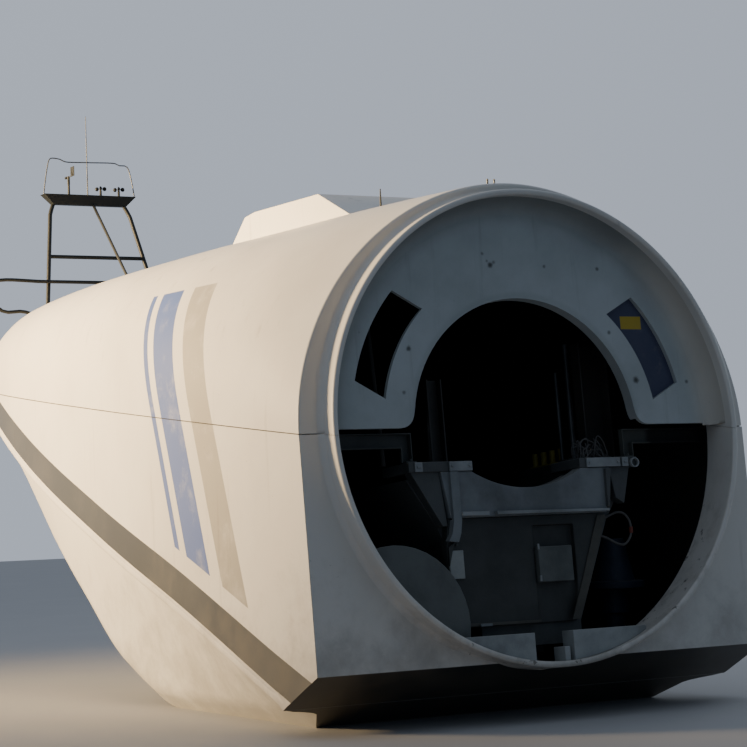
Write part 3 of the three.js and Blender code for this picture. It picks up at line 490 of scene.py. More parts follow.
# Lower covers: one moulding for each side, with its side wall, half of the front face below the joint, half
# of the chin and half of the tail. The chine starts where it meets the chin. The lip's groove and the round
# under it fade in behind the chin.
LIP_HEIGHT, LIP_WIDTH, LIP_GROOVE = 0.078, 0.010, 0.016
LIP_FOOT, LIP_TUCK, LIP_START, LIP_FADE = 0.030, 0.010, 0.45, 0.25
CHINE_START, JOINT_ON_FACE = 0.583, 0.188
chin_y = np.linspace(face_y(FACE_FOOT), CHINE_START, 16)
chine_y = CHINE_START + (TAIL - CHINE_START) * np.linspace(0, 1, 110)
wall_foot_y = np.concatenate([chin_y, chine_y[1:]])
foot_share = (wall_foot_y - wall_foot_y[0]) / (TAIL - wall_foot_y[0])
head_start = face_y(split_at(JOINT_ON_FACE))
wall_head_y = head_start + (TAIL - head_start) * foot_share


def chin_height(y):
    """Height of the raked chin under the front face: a plane that falls half a metre to the metre."""
    return FACE_FOOT + CHIN_SLOPE * (y - CHIN_START)


def wall_patch(side):
    """A side wall from the joint down to the chine: rows run level with the chine near the foot, where a
    groove and a rolled lip stand, and spread out evenly above."""
    foot_z = np.maximum(along(CHINE, wall_foot_y), chin_height(wall_foot_y))
    foot_z[:len(chin_y)] = chin_height(chin_y)
    head_z = split_at(wall_head_y) - JOINT_OPEN
    roll = np.array([0, 0.004, 0.012, 0.024, 0.038, 0.052, 0.064, 0.074, 0.081, 0.086, 0.092, 0.100, 0.112,
                     0.13])
    share = np.linspace(0, 1, 30)[1:] ** 1.1
    height = head_z - foot_z
    reach = np.minimum(roll[:, None], height[None] * (roll[:, None] / roll[-1]) * 0.8)
    above = reach[-1] + (height - reach[-1]) * share[:, None]
    climb = np.concatenate([reach, above])
    part = climb / height
    y = wall_foot_y + (wall_head_y - wall_foot_y) * part
    z = foot_z + climb
    return np.stack([side * along(HALF_WIDTH, y), y, z], axis=-1)


def roll_in(patch, side):
    """The lip's section: a bell-shaped groove over the lip and a round under it draw the wall in."""
    lift = patch[..., 2] - along(CHINE, patch[..., 1])
    groove = np.exp(-((lift - LIP_HEIGHT) / LIP_WIDTH) ** 2) * LIP_GROOVE
    foot = np.clip(1 - lift / LIP_FOOT, 0, 1) ** 2 * LIP_TUCK
    fade = np.clip((patch[..., 1] - LIP_START) / LIP_FADE, 0, 1)
    drawn = patch.copy()
    drawn[..., 0] -= side * (groove + foot) * fade
    return drawn


def lower_patches(side):
    """Side wall, its half of the step under the chine, the front face beside the collar, the chin and the
    tail. The face is ruled from the wall's edge and the face's foot to the collar's opening."""
    walls = roll_in(wall_patch(side), side)
    foot = walls[0]
    chine_foot = foot[len(chin_y) - 1:]
    drop = chine_foot.copy()
    drop[:, 0] = side * (along(HALF_WIDTH, chine_y) - CHINE_STEP / 2)
    drop[:, 2] = along(CHINE, chine_y) - CHINE_STEP / 4 + JOINT_GAP
    drop[0, 2] = chine_foot[0, 2]
    step = strip(chine_foot, drop, [0, 0.5, 1])
    front = walls[:, 0][::-1]
    plane_z = (front[:, 2] + sin(TILT) * FACE_AT) / cos(TILT)
    low = plane_z[-1]
    tip = np.sqrt(opening ** 2 - low ** 2)
    foot_x = np.linspace(np.abs(front[-1, 0]), tip, 30)[1:]
    foot_line = square_to_rotor(side * foot_x, FACE_AT, low)
    outer = np.concatenate([front, foot_line])
    reach = np.concatenate([[0], np.cumsum(np.linalg.norm(np.diff(outer, axis=0), axis=1))])
    head = np.arcsin(plane_z[0] / opening)
    turn = head + (np.arcsin(low / opening) - head) * reach / reach[-1]
    inner = round_axis(opening, FACE_AT, turn) * (side, 1, 1)
    face = strip(outer, inner, np.linspace(0, 1, 14))
    leaned = sin(TILT) * chin_y + cos(TILT) * chin_height(chin_y)
    near = np.maximum(np.sqrt(np.maximum(opening ** 2 - leaned ** 2, 0)), JOINT_GAP / 2)
    near[0] = tip
    width = np.abs(foot[:len(chin_y), 0])
    corner_x = np.abs(front[-1, 0])
    inward = (corner_x - np.append(corner_x, foot_x)) / (corner_x - tip)
    across = width[:, None] + (near - width)[:, None] * inward
    chin_z = chin_height(chin_y)[:, None]
    chin = np.stack(np.broadcast_arrays(side * across, chin_y[:, None], chin_z), axis=-1)
    chin[0] = np.concatenate([front[-1:], foot_line])
    tail_share = side * np.linspace(1, 0, 10)
    tail_rows = np.concatenate([[drop[-1]], walls[:, -1]])
    tail_x = np.abs(tail_rows[:, :1]) * tail_share + side * JOINT_GAP / 2 * (tail_share == 0)
    tail = np.stack(np.broadcast_arrays(tail_x, TAIL, tail_rows[:, 2:]), axis=-1)
    return [walls, step, face, chin, tail]


lower_left = skin("lower_cover_left_skin", lower_patches(-1), wall=WALL, ease=0.008)
lower_right = skin("lower_cover_right_skin", lower_patches(1), wall=WALL, ease=0.008)


def belly_patches(y):
    """The set-in belly: from the middle of the chine's step in and down to the bevelled corner and the flat
    bottom, all clipped by the chin where that is higher."""
    half = along(HALF_WIDTH, y)
    chine = along(CHINE, y)
    bottom = along(BELLY, y)
    shelf = half - CHINE_STEP
    shelf_z = chine - CHINE_STEP / 2
    corner = np.minimum(BELLY_CORNER, (shelf_z - bottom) * 0.7)
    belly_half = np.minimum(along(BELLY_HALF, y), shelf - CHINE_STEP / 2)
    knots_x = np.stack([half - CHINE_STEP / 2, shelf, belly_half, belly_half - corner])
    knots_z = np.stack([chine - CHINE_STEP / 4, shelf_z, bottom + corner, bottom])
    lowest = np.maximum(bottom, np.where(y < CHIN_END, chin_height(y), FAR_BELOW))
    lowest = np.minimum(lowest, knots_z[0])
    share = np.concatenate([[0], 1 + np.linspace(0, 1, 14), 2 + np.linspace(0, 1, 4)[1:]])
    base = np.minimum(share.astype(int), 2)
    part = (share - base)[:, None]
    x = knots_x[base] * (1 - part) + knots_x[base + 1] * part
    z = knots_z[base] * (1 - part) + knots_z[base + 1] * part
    clipped = z < lowest
    z = np.maximum(z, lowest)
    limit = np.array([np.interp(-l, -kz, kx) for l, kz, kx in zip(lowest, knots_z.T, knots_x.T)])
    x = np.where(clipped, limit, x)
    made = []
    for side in (-1, 1):
        flank = np.stack(np.broadcast_arrays(side * x, y[None], z), axis=-1)
        middle = flank[-1] * (0, 1, 1)
        made += [flank, strip(flank[-1], middle, np.linspace(0, 1, 12))]
    return made


front_belly_y = np.concatenate([np.linspace(CHINE_START, CHIN_END, 14), np.linspace(CHIN_END, SEAM, 50)[1:]])
belly_front = skin("belly_front_skin", belly_patches(front_belly_y), wall=WALL, ease=0.010)
rear_belly_y = np.linspace(SEAM + JOINT_GAP, TAIL, 90)
rear_patches = belly_patches(rear_belly_y)
for flank in (rear_patches[0], rear_patches[2]):
    rear_patches.append(strip(flank[:, -1], flank[:, -1] * (0, 1, 1), np.linspace(0, 1, 8)))
belly_rear = skin("belly_rear_skin", rear_patches, wall=WALL, ease=0.010)
# The bevel throws one corner a few millimetres out of the tail's plane, so the corner is put back into it.
corners = np.empty(len(belly_rear.data.vertices) * 3)
belly_rear.data.vertices.foreach_get("co", corners)
corners[1::3] = np.minimum(corners[1::3], TAIL + ROTOR_CENTRE[1])
belly_rear.data.vertices.foreach_set("co", corners)

# The stripe and the feet of the bands follow the height over the chine, which is stored on the side walls.
SIDE_DEPTH, BEHIND_FACE, NO_LIFT = 0.055, 0.002, 9.0


def chine_lift(x, y, z):
    """Height over the chine on the side walls, and elsewhere one that the stripe never reaches."""
    on_side = (np.abs(x) > along(HALF_WIDTH, y) - SIDE_DEPTH) & (y > face_y(z) + BEHIND_FACE)
    return np.where(on_side, z - along(CHINE, y), NO_LIFT)


for cover, node in ((upper_front, "upper_cover_front"), (upper_rear, "upper_cover_rear"),
                    (lower_left, "lower_cover_left"), (lower_right, "lower_cover_right")):
    mark(cover, "chine_lift", chine_lift)
    dress(cover, cover_finish, "hull_white", node)
for cover, node in ((belly_front, "belly_front"), (belly_rear, "belly_rear")):
    dress(cover, belly_finish, "hull_white", node)

# Joint seal: a black rubber strip that is squeezed between the flanges of the upper and lower covers and
# glued to the lower one. It is set a little in.
SEAL_IN, SEAL_THICK, SEAL_HALF = 0.010, 0.020, JOINT_OPEN + 0.0005


def carried(path, sideways, section):
    """A closed section carried along a path. Each section point is a distance along sideways, a unit vector
    at each path point, and one along the cross of the path's direction with it. Both ends are closed."""
    direction = unit(np.gradient(path, axis=0))
    sideways = unit(sideways - direction * np.sum(sideways * direction, -1, keepdims=True))
    upward = np.cross(direction, sideways)
    ring = np.asarray(section)
    ring = np.concatenate([ring, ring[:1]])
    body = path[:, None] + ring[None, :, :1] * sideways[:, None] + ring[None, :, 1:] * upward[:, None]
    return [body, *(fan(body[k], body[k, :-1].mean(axis=0)) for k in (0, -1))]


def round_section(radius, sides):
    """Points of a circle."""
    turn = np.arange(sides) / sides * 2 * pi
    return np.stack([radius * np.cos(turn), radius * np.sin(turn)], axis=-1)


def solid(name, patches, finish, slot, *nodes, **shaping):
    """A closed body of patches, in its finish."""
    return dress(skin(name, patches, closed=True, **shaping), finish, slot, *nodes)


seal_finish = clouded("seal_rubber", (40.0, 4.0), (0.012, 0.012, 0.012), (0.035, 0.033, 0.030), 0.8)
seal_y = np.linspace(0.21, TAIL - 0.02, 120)
seal_section = [(SEAL_THICK / 2 * u, SEAL_HALF * v) for u, v in ((1, 1), (-1, 1), (-1, -1), (1, -1))]
seal_rows = []
for side in (-1, 1):
    seal_x = side * (along(HALF_WIDTH, seal_y) - SEAL_IN - SEAL_THICK / 2)
    seal_line = np.stack([seal_x, seal_y, split_at(seal_y)], axis=-1)
    seal_rows += carried(seal_line, np.array([1.0, 0, 0]), seal_section)
solid("joint_seal", seal_rows, seal_finish, "face_grey")

# Rotor collar: a turned glass-fibre ring in two halves, with a rounded lip and a bore that widens a little
# to the back. It is laid up with the covers and bolted through the front face.
RIM, COLLAR_DEEP, COLLAR_FLARE, LIP_ROUND = 1.840, 0.386, 0.025, 0.020


def joint_turn(radius, depth, side):
    """Angle round the rotor axis at which a ring of this radius meets the covers' joint on the right."""
    edge = SPLIT_AT_ROTOR + 0.0015 * side
    height = (edge + depth * (SPLIT_RISE * cos(TILT) + sin(TILT))) / (cos(TILT) - SPLIT_RISE * sin(TILT))
    return np.arcsin(height / radius)


def turned(radius, depth, start, end, steps=181):
    """A profile of radius and depth, carried round the rotor axis from one angle to another."""
    turn = start[:, None] + (end - start)[:, None] * np.linspace(0, 1, steps)[None]
    return round_axis(radius[:, None], depth[:, None], turn)


def collar_half(side, name, node):
    """Half of the collar: a rounded section carried round the rotor axis from joint to joint."""
    round_turn = np.linspace(0, pi / 2, 9)
    lip_half = (COLLAR_OUTER - RIM) / 2
    lip_y = LIP_ROUND * (1 - np.sin(round_turn))
    back = np.linspace(LIP_ROUND, COLLAR_DEEP, 14)[1:]
    depth = np.concatenate([lip_y[::-1], back])
    reach = np.concatenate([lip_half * np.cos(round_turn)[::-1], np.full(back.shape, lip_half)])
    flare = np.clip((depth - LIP_ROUND) / (COLLAR_DEEP - LIP_ROUND), 0, 1) * COLLAR_FLARE
    faces = []
    for radius in (RIM + lip_half + reach, RIM + lip_half - reach + flare):
        joint = joint_turn(radius, depth, side)
        start, end = (joint, pi - joint) if side > 0 else (-pi - joint, joint)
        faces.append(turned(radius, depth, start, end))
    outside, bore = faces
    ends = [np.stack([outside[:, k], bore[:, k]]) for k in (0, -1)]
    solid(name, [outside, bore, np.stack([outside[-1], bore[-1]]), *ends], collar_finish, "hull_white", node,
          ease=0.002, ease_angle=60, smooth=50)


ROOT, ROOT_SHARE, ROOT_SLACK, ROOT_FOOT = 0.045, 0.45, 0.2, 1.80


def collar_root(side, name):
    """The hollow root between the front face and the collar: it leaves the collar at a slant and runs out
    along the face, as far as there is room. Above the joint that is a share of the face's width, and below
    it the room shrinks towards the face's foot."""
    first, last = joint_turn(COLLAR_OUTER, FACE_AT, side), pi - joint_turn(COLLAR_OUTER, FACE_AT, side)
    turn = np.linspace(first, last, 181) if side > 0 else np.linspace(last - 2 * pi, first, 181)
    if side > 0:
        room = np.interp(turn, opening_angle[::-1], face_width[::-1]) * ROOT_SHARE
    else:
        room = ROOT_SLACK * np.clip(ROOT_FOOT + COLLAR_OUTER * np.sin(turn), 0.005, 1)
    out = np.minimum(ROOT, room)
    share = np.linspace(0, 1, 14)[:, None]
    radius = COLLAR_OUTER + out * share
    depth = FACE_AT - 0.0005 - out * (1 - share) ** 2
    front = round_axis(radius, depth, turn)
    corner = round_axis(COLLAR_OUTER - 0.003, FACE_AT + 0.003, turn)
    back = np.stack([front[-1], corner, front[0]])
    ends = [fan(front[:, k], corner[k]) for k in (0, -1)]
    solid(name, [front, back, *ends], collar_finish, "hull_white", smooth=60)


collar_finish = gelcoat("gelcoat_collar", chipped=True)
collar_half(1, "collar_upper_ring", "front_collar_upper")
collar_half(-1, "collar_lower_ring", "front_collar_lower")
collar_root(1, "collar_upper_root")
collar_root(-1, "collar_lower_root")


# Front bulkhead: a half disc of grey gelcoated laminate with a flanged shaft hole and two curved windows.
# It is bonded into the collar. Its face carries dark marks, scuffs and runs of old grease.
def eased(node, name, ease, finish, slot, segments=2, angle=35, body="root"):
    """A copy of a CAD node with its points merged, its flat faces joined and its edges rounded."""
    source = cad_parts[node]
    mesh = source.data.copy()
    shape = bmesh.new()
    shape.from_mesh(mesh)
    bmesh.ops.remove_doubles(shape, verts=shape.verts, dist=0.00005)
    bmesh.ops.dissolve_limit(shape, angle_limit=radians(0.6), verts=shape.verts, edges=shape.edges)
    shape.to_mesh(mesh)
    shape.free()
    piece = bpy.data.objects.new(name, mesh)
    bpy.context.collection.objects.link(piece)
    settle(piece, ease, angle, segments, 40)
    return dress(piece, finish, slot, node, body=body)


BULKHEAD_AT, HOLE_RADIUS, WHOLE_SPOT = 0.243, 1.045, 0.032
STAINS = [(-0.301, 1.404, 0.020), (-0.235, 1.312, 0.036), (0.279, 1.311, 0.022), (0.798, 1.301, 0.026),
          (-1.047, 0.638, 0.030), (-1.119, 0.295, 0.022), (1.083, 0.382, 0.040), (0.858, 0.775, 0.024),
          (1.596, 0.367, 0.024), (-0.20, 1.335, 0.020), (-0.262, 1.345, 0.018)]


def spots(made, places):
    """Soft ragged marks on a face that looks along the nacelle, from (side, height, size) measured square to
    the rotor axis: each fades from its middle to its size, and small ones are fainter."""
    ragged = made.noise(30.0, 5.0, 0.75) * 1.3 + 0.35
    total = None
    for side, height, size in places:
        level_height = height * cos(TILT) - BULKHEAD_AT * sin(TILT)
        off = ((made.side - side) ** 2.0 + (made.height - level_height) ** 2.0) ** 0.5 * ragged
        spot = (1 - made.step(off, size * 0.2, size)) * min(1.0, size / WHOLE_SPOT)
        total = spot if total is None else total | spot
    return total


def bulkhead_gelcoat():
    """Clouded grey gelcoat with painted shade in the upper rim and a pale warm painted light in the rim on
    the right, painted shade darkening the rim's edge, darker round the hole, with scuffs, runs, and dark
    marks."""
    made = Finish("bulkhead_gelcoat")
    cloud = made.noise(1.4, 6.0, 0.62)
    rings = (made.side ** 2.0 + made.height ** 2.0) ** 0.5
    colour = made.blend(made.step(cloud, 0.3, 0.75), (0.50, 0.545, 0.545), (0.40, 0.435, 0.435))
    at_hole = 1 - made.step(abs(rings - HOLE_RADIUS) + cloud * 0.04, 0.02, 0.07)
    # Darker towards the rim's edge as painted shade under the collar, and darker round the hole.
    rim_shade_and_hole_dark = made.step(rings + cloud * 0.10, 1.70, 1.90) | at_hole * 0.5
    scuffs = made.step(made.noise(5.0, 8.0, 0.75, stretch=(1, 1, 3.0), warp=0.6), 0.60, 0.72)
    runs = made.step(made.noise(1.0, 4.0, 0.6, stretch=(14.0, 1.0, 0.6)), 0.58, 0.76)
    rim = made.step(rings, 1.58, 1.84)
    right = made.step(made.side, 0.9, 1.55)
    # Painted shade darkens the upper rim, and a warm painted light brightens the rim on the right.
    colour = made.blend(rim * (1 - right) * 0.55, colour, (0.13, 0.13, 0.115))
    colour = made.blend(rim * right * 0.75, colour, (0.80, 0.73, 0.62))
    grease = spots(made, STAINS) | made.step(made.noise(11.0, 3.0), 0.74, 0.80) * 0.6
    colour = made.blend(scuffs * 0.35, colour, (0.46, 0.48, 0.47))
    # The rim's painted shade, the darkening round the hole and the runs all blend to one dark grey.
    colour = made.blend((rim_shade_and_hole_dark * 0.3) | (runs * 0.22), colour, (0.10, 0.10, 0.09))
    colour = made.blend(grease * 0.85, colour, (0.030, 0.028, 0.025))
    waves = made.relief(cloud, 0.004)
    return made.set(Base_Color=colour, Roughness=0.42 + cloud * 0.2 + grease * 0.2 + scuffs * 0.1,
                    Normal=made.relief(made.noise(90.0, 2.0), 0.0006, waves))


bulkhead_finish = bulkhead_gelcoat()
eased("front_bulkhead", "bulkhead_disc", 0.010, bulkhead_finish, "bulkhead_grey", segments=3)

# Cove: the bulkhead runs into the collar's bore by a wide hollow fillet of the same laminate, laid up over
# both. Its section is a quarter of an ellipse, and its back lies inside the bulkhead and the collar.
COVE, COVE_DEEP = 0.135, 0.200
bend = np.linspace(0, pi / 2, 12)
cove_radius = RIM + 0.012 - COVE * (1 - np.cos(bend))
cove_depth = BULKHEAD_AT - 0.0005 - COVE_DEEP * (1 - np.sin(bend))
corner_radius = np.array([cove_radius[-1], RIM + 0.018, cove_radius[0]])
corner_depth = np.array([cove_depth[-1], BULKHEAD_AT + 0.004, cove_depth[0]])
foot = joint_turn(RIM, BULKHEAD_AT, 1) + 0.004
cove_face = turned(cove_radius, cove_depth, np.full(12, foot), np.full(12, pi - foot))
cove_back = turned(corner_radius, corner_depth, np.full(3, foot), np.full(3, pi - foot))
cove_ends = [fan(cove_face[:, k], cove_back[1, k]) for k in (0, -1)]
solid("bulkhead_cove", [cove_face, cove_back, *cove_ends], bulkhead_finish, "bulkhead_grey", smooth=50)

# Window panel: a sheet of steel in dark blue paint, bolted behind the right window, with a plain yellow
# rectangle painted on it.
PATCH_LEFT, PATCH_RIGHT, PATCH_LOW, PATCH_HIGH = 1.008, 1.213, 0.782, 0.888
panel_finish = Finish("panel_paint")
panel_cloud = panel_finish.noise(3.0, 5.0)
edges = [panel_finish.step(off, -0.002, 0.002) for off in (
    panel_finish.side - PATCH_LEFT, PATCH_RIGHT - panel_finish.side,
    panel_finish.height - PATCH_LOW, PATCH_HIGH - panel_finish.height)]
panel_colour = panel_finish.blend(panel_cloud, (0.040, 0.045, 0.095), (0.075, 0.08, 0.13))
panel_colour = panel_finish.blend(edges[0] * edges[1] * edges[2] * edges[3], panel_colour, (0.50, 0.36, 0.03))
panel_dust = panel_finish.step(panel_finish.noise(9.0, 6.0, 0.7), 0.55, 0.75)
panel_finish.set(Base_Color=panel_finish.blend(panel_dust * 0.3, panel_colour, (0.25, 0.25, 0.24)),
                 Roughness=0.40 + panel_dust * 0.3, Normal=panel_finish.relief(panel_cloud, 0.002))
eased("window_panel", "window_panel_sheet", 0.002, panel_finish, "panel_blue")


# Frame and castings: the iron machine frame, the ring under it and the castings and pedestals that are
# bolted to its front, in grey paint, with dust on what looks up and dark oily patches.
def machine_paint(name, colour, dust_colour, dust=0.5, rough=0.55, metallic=0.0):
    """Old machine paint: clouded colour, dust that lies on faces that look up, and dark oily patches."""
    made = Finish(name)
    clouds = made.noise(2.6, 6.0, 0.6)
    settled = made.step(made.facing("Z") + made.noise(7.0, 4.0) * 0.5, 0.45, 1.1)
    oily = made.step(made.noise(1.7, 5.0, 0.65, stretch=(1, 1, 0.5), shift=(3, 1, 7)), 0.55, 0.72)
    darker = tuple(c * 0.55 for c in colour)
    base = made.blend(made.step(clouds, 0.35, 0.75), colour, darker)
    base = made.blend(settled * dust, base, dust_colour)
    base = made.blend(oily * 0.45, base, (0.03, 0.028, 0.024))
    grain = made.relief(made.noise(70.0, 4.0, 0.6), 0.0012)
    return made.set(Base_Color=base, Roughness=rough + settled * 0.25 - oily * 0.15, Metallic=metallic,
                    Normal=grain)


casting_finish = machine_paint("casting_paint", (0.085, 0.092, 0.092), (0.20, 0.195, 0.175))
cradle_finish = machine_paint("cradle_paint", (0.215, 0.235, 0.245), (0.30, 0.30, 0.28))
face_finish = machine_paint("front_casting_paint", (0.050, 0.054, 0.052), (0.12, 0.115, 0.10))
for node, ease, finish in (
        ("machine_frame", 0.010, casting_finish), ("yaw_ring", 0.006, casting_finish),
        ("gear_support", 0.006, casting_finish), ("cradle_plate", 0.008, cradle_finish),
        ("front_casting", 0.010, face_finish), ("frame_pedestal_left", 0.006, casting_finish),
        ("frame_pedestal_right", 0.006, casting_finish)):
    eased(node, node + "_cast", ease, finish, "casting_grey")

# Sills, box and covers: folded steel sills that are bolted into the bottom of the collar, the junction box
# and the cable plate that are screwed to the casting's face, and the round duct cover, seated in the collar.
sill_finish = machine_paint("sill_paint", (0.36, 0.385, 0.385), (0.44, 0.43, 0.40))
for node in ("collar_sill_left", "collar_sill_right", "sill_post"):
    eased(node, node + "_plate", 0.005, sill_finish, "face_grey")
cover_plate_finish = machine_paint("duct_cover_paint", (0.135, 0.148, 0.142), (0.22, 0.22, 0.20))
for node in ("junction_box", "duct_cover"):
    eased(node, node + "_plate", 0.006, cover_plate_finish, "face_grey", segments=3)
cable_plate_finish = machine_paint("cable_plate_paint", (0.36, 0.38, 0.37), (0.4, 0.4, 0.38))
eased("cable_plate", "cable_plate_sheet", 0.003, cable_plate_finish, "hull_white")

# Cover brackets: pressed steel channels with a thin web and two turned edges. Each stands on a pedestal by a
# foot plate with a bolt and reaches out to the cover's wall. The right one's arm beyond its leg is painted
# near black as painted shade.
PLATE, BRACKET_NEAR, BRACKET_FAR, ARM_LOW, LEG_FOOT = 0.010, 0.392, 0.452, -0.120, -0.2354
LEG_INNER, LEG_OUTER, BRACKET_WALL = 1.0, 1.1, 2.03
FOOT_INNER, FOOT_OUTER, FOOT_THICK, FOOT_BOLT = 0.985, 1.078, 0.012, 1.03


def slab(first, second, near, far):
    """Patches of a plate between two edge lines of (side, height) points, from one depth to another, all
    measured square to the rotor axis."""
    sheets = [[square_to_rotor(line[:, 0], depth, line[:, 1]) for line in map(np.array, (first, second))]
              for depth in (near, far)]
    (near_first, near_second), (far_first, far_second) = sheets
    ends = [np.array([[near_first[k], near_second[k]], [far_first[k], far_second[k]]]) for k in (0, -1)]
    return [np.stack(sheets[0]), np.stack(sheets[1]), np.stack([near_first, far_first]),
            np.stack([near_second, far_second]), *ends]


def rod(start, end, radius, sides=20):
    """Patches of a round bar between two places (side, depth, height), or of a bolt's head with six sides."""
    path = np.stack([square_to_rotor(*start), square_to_rotor(*end)])
    across = (0.0, 0.0, 1.0) if abs(path[1, 2] - path[0, 2]) < radius else (1.0, 0.0, 0.0)
    return carried(path, np.array(across), round_section(radius, sides))


dark_finish = machine_paint("bracket_paint", (0.060, 0.066, 0.062), (0.16, 0.155, 0.14))
# The right bracket's arm beyond the leg is painted near black: a painted shade.
shaded_bracket_finish = Finish("shaded_bracket")
bracket_shade = shaded_bracket_finish.step(shaded_bracket_finish.side + shaded_bracket_finish.noise(6.0, 4.0) * 0.04, 1.26, 1.33)
shaded_bracket_finish.set(Base_Color=shaded_bracket_finish.blend(bracket_shade, (0.075, 0.080, 0.072), (0.004, 0.004, 0.004)),
                 Roughness=0.7)
for side, label, finish in ((-1, "left", dark_finish), (1, "right", shaded_bracket_finish)):
    outer, outer_fold, inner, inner_fold = (
        [(side * BRACKET_WALL, height), (side * leg, height), (side * leg, LEG_FOOT)]
        for leg, height in ((LEG_INNER, 0.0), (LEG_INNER + PLATE, -PLATE),
                            (LEG_OUTER, ARM_LOW), (LEG_OUTER - PLATE, ARM_LOW + PLATE)))
    patches = slab(outer, inner, BRACKET_FAR - PLATE, BRACKET_FAR)
    patches += slab(outer, outer_fold, BRACKET_NEAR, BRACKET_FAR)
    patches += slab(inner, inner_fold, BRACKET_NEAR, BRACKET_FAR)
    foot_line, sole_line = ([(side * FOOT_INNER, height), (side * FOOT_OUTER, height)]
                            for height in (LEG_FOOT + FOOT_THICK, LEG_FOOT))
    patches += slab(foot_line, sole_line, BRACKET_NEAR - 0.03, BRACKET_FAR)
    bolt_foot, bolt_head = ((side * FOOT_BOLT, BRACKET_NEAR - 0.012, LEG_FOOT + height)
                            for height in (0.010, 0.030))
    patches += rod(bolt_foot, bolt_head, 0.014, 6)
    solid("cover_bracket_%s_channel" % label, patches, finish, "casting_grey", "cover_bracket_" + label,
          ease=0.002)

# Cradle trim: a welded rib on the left, a turned flange along the foot, an edge strip on the right, and
# bearing plates with their bolts on both pedestals. All are steel plates welded or bolted to the castings,
# and end half a millimetre in front of them.
FRONT, CASTING_FRONT, BEARING_HEAD, BEARING_FOOT = 0.3295, 0.3695, -0.238, -0.313
trim_finish = machine_paint("bearing_plate_paint", (0.33, 0.35, 0.355), (0.42, 0.41, 0.38))
rib = slab([(-0.730, -0.318), (-0.730, -0.700), (-0.752, -0.800), (-0.790, -0.860)],
           [(-0.655, -0.318), (-0.655, -0.700), (-0.672, -0.800), (-0.700, -0.870)], 0.300, FRONT)
rib += slab([(-0.728, -0.690), (-0.750, -0.800), (-0.785, -0.855)],
            [(-0.660, -0.690), (-0.675, -0.800), (-0.702, -0.865)], 0.325, CASTING_FRONT)
solid("cradle_rib", rib, cradle_finish, "casting_grey", ease=0.004)
flange = []
for left, right in ((-0.655, -0.409), (-0.335, 0.735)):
    flange += slab([(left, -0.636 - (left + 0.655) * 0.012), (right, -0.636 - (right + 0.655) * 0.012)],
                   [(left, -0.668), (right, -0.672)], 0.285, FRONT)
solid("cradle_flange", flange, trim_finish, "casting_grey", ease=0.003)
side_strip = slab([(0.738, -0.330), (0.731, -0.636)], [(0.790, -0.330), (0.752, -0.636)], 0.300, FRONT)
solid("cradle_side_strip", side_strip, casting_finish, "casting_grey", ease=0.003)
bearing_plates = []
for left, right, thick in ((-0.720, -0.512, 0.014), (-1.030, -0.962, 0.012), (0.575, 0.902, 0.014),
                           (0.925, 0.985, 0.010)):
    bearing_plates += slab([(left, BEARING_HEAD), (right, BEARING_HEAD)],
                           [(left, BEARING_FOOT), (right, BEARING_FOOT)], FRONT - thick, FRONT)
    for place in (left + 0.025, right - 0.025):
        bearing_plates += rod((place, FRONT - thick - 0.012, -0.275), (place, FRONT - thick + 0.002, -0.275),
                              0.011, 6)
solid("bearing_plates", bearing_plates, trim_finish, "casting_grey", ease=0.002)

# Casting trim: a machined edge down the slanted right side and a bar along the foot, cast with the face, and
# a small steel clamp, a cable bracket and the hinges of the junction box, screwed on.
casting_trim = slab([(0.655, -0.700), (0.455, -1.222), (0.330, -1.520)],
                    [(0.741, -0.700), (0.541, -1.216), (0.408, -1.520)], 0.358, 0.3698)
casting_trim += slab([(-0.636, -1.498), (0.030, -1.504)], [(-0.636, -1.525), (0.030, -1.527)], 0.352, 0.3698)
edge_finish = machine_paint("casting_edge_paint", (0.085, 0.082, 0.068), (0.12, 0.115, 0.10))
solid("casting_trim", casting_trim, edge_finish, "casting_grey", ease=0.003)
small_clamp = slab([(-0.545, -1.506), (-0.440, -1.508)], [(-0.545, -1.529), (-0.440, -1.529)], 0.330, 0.353)
solid("small_clamp", small_clamp, cradle_finish, "casting_grey", ease=0.002)
cable_bracket = slab([(-0.772, -0.905), (-0.700, -0.860)], [(-0.772, -1.050), (-0.735, -0.925)],
                     0.345, CASTING_FRONT)
cable_bracket += rod((-0.700, 0.368, -0.885), (-0.700, 0.335, -0.885), 0.012, 6)
solid("cable_bracket", cable_bracket, dark_finish, "casting_grey", ease=0.002)
for low in (-1.205, -0.955):
    hinge = rod((0.040, 0.322, low), (0.040, 0.322, low + 0.045), 0.009, 12)
    solid("box_hinge_%d" % (-low * 1000), hinge, trim_finish, "face_grey", ease=0.001)

# Posts and stay: two posts of folded plate bolted to the pedestals by their foot plates, and a tube that
# stays the roof behind the left window. All are painted dark.
POST_PLATE, PEDESTAL_TOP, POST_FOOT = 0.012, -0.235, -0.222
POSTS = ((-0.700, -0.560, 0.600, 0.680, 0.450), (0.800, 1.075, 0.620, 0.745, 0.750))
posts = []
for left, right, near, far, head in POSTS:
    for first, second, start in ((left, right, far - POST_PLATE), (left, left + POST_PLATE, near),
                                 (right - POST_PLATE, right, near)):
        posts += slab([(first, head), (first, PEDESTAL_TOP)], [(second, head), (second, PEDESTAL_TOP)],
                      start, far)
    posts += slab([(left, POST_FOOT), (right, POST_FOOT)], [(left, PEDESTAL_TOP), (right, PEDESTAL_TOP)],
                  near, far)
post_finish = machine_paint("post_paint", (0.034, 0.031, 0.027), (0.06, 0.055, 0.05))
solid("bearing_posts", posts, post_finish, "casting_grey", ease=0.002)
stay = rod((-1.150, 0.600, -0.236), (-1.215, 0.600, 1.420), 0.020)
solid("roof_stay", stay, post_finish, "casting_grey", ease=0.001)

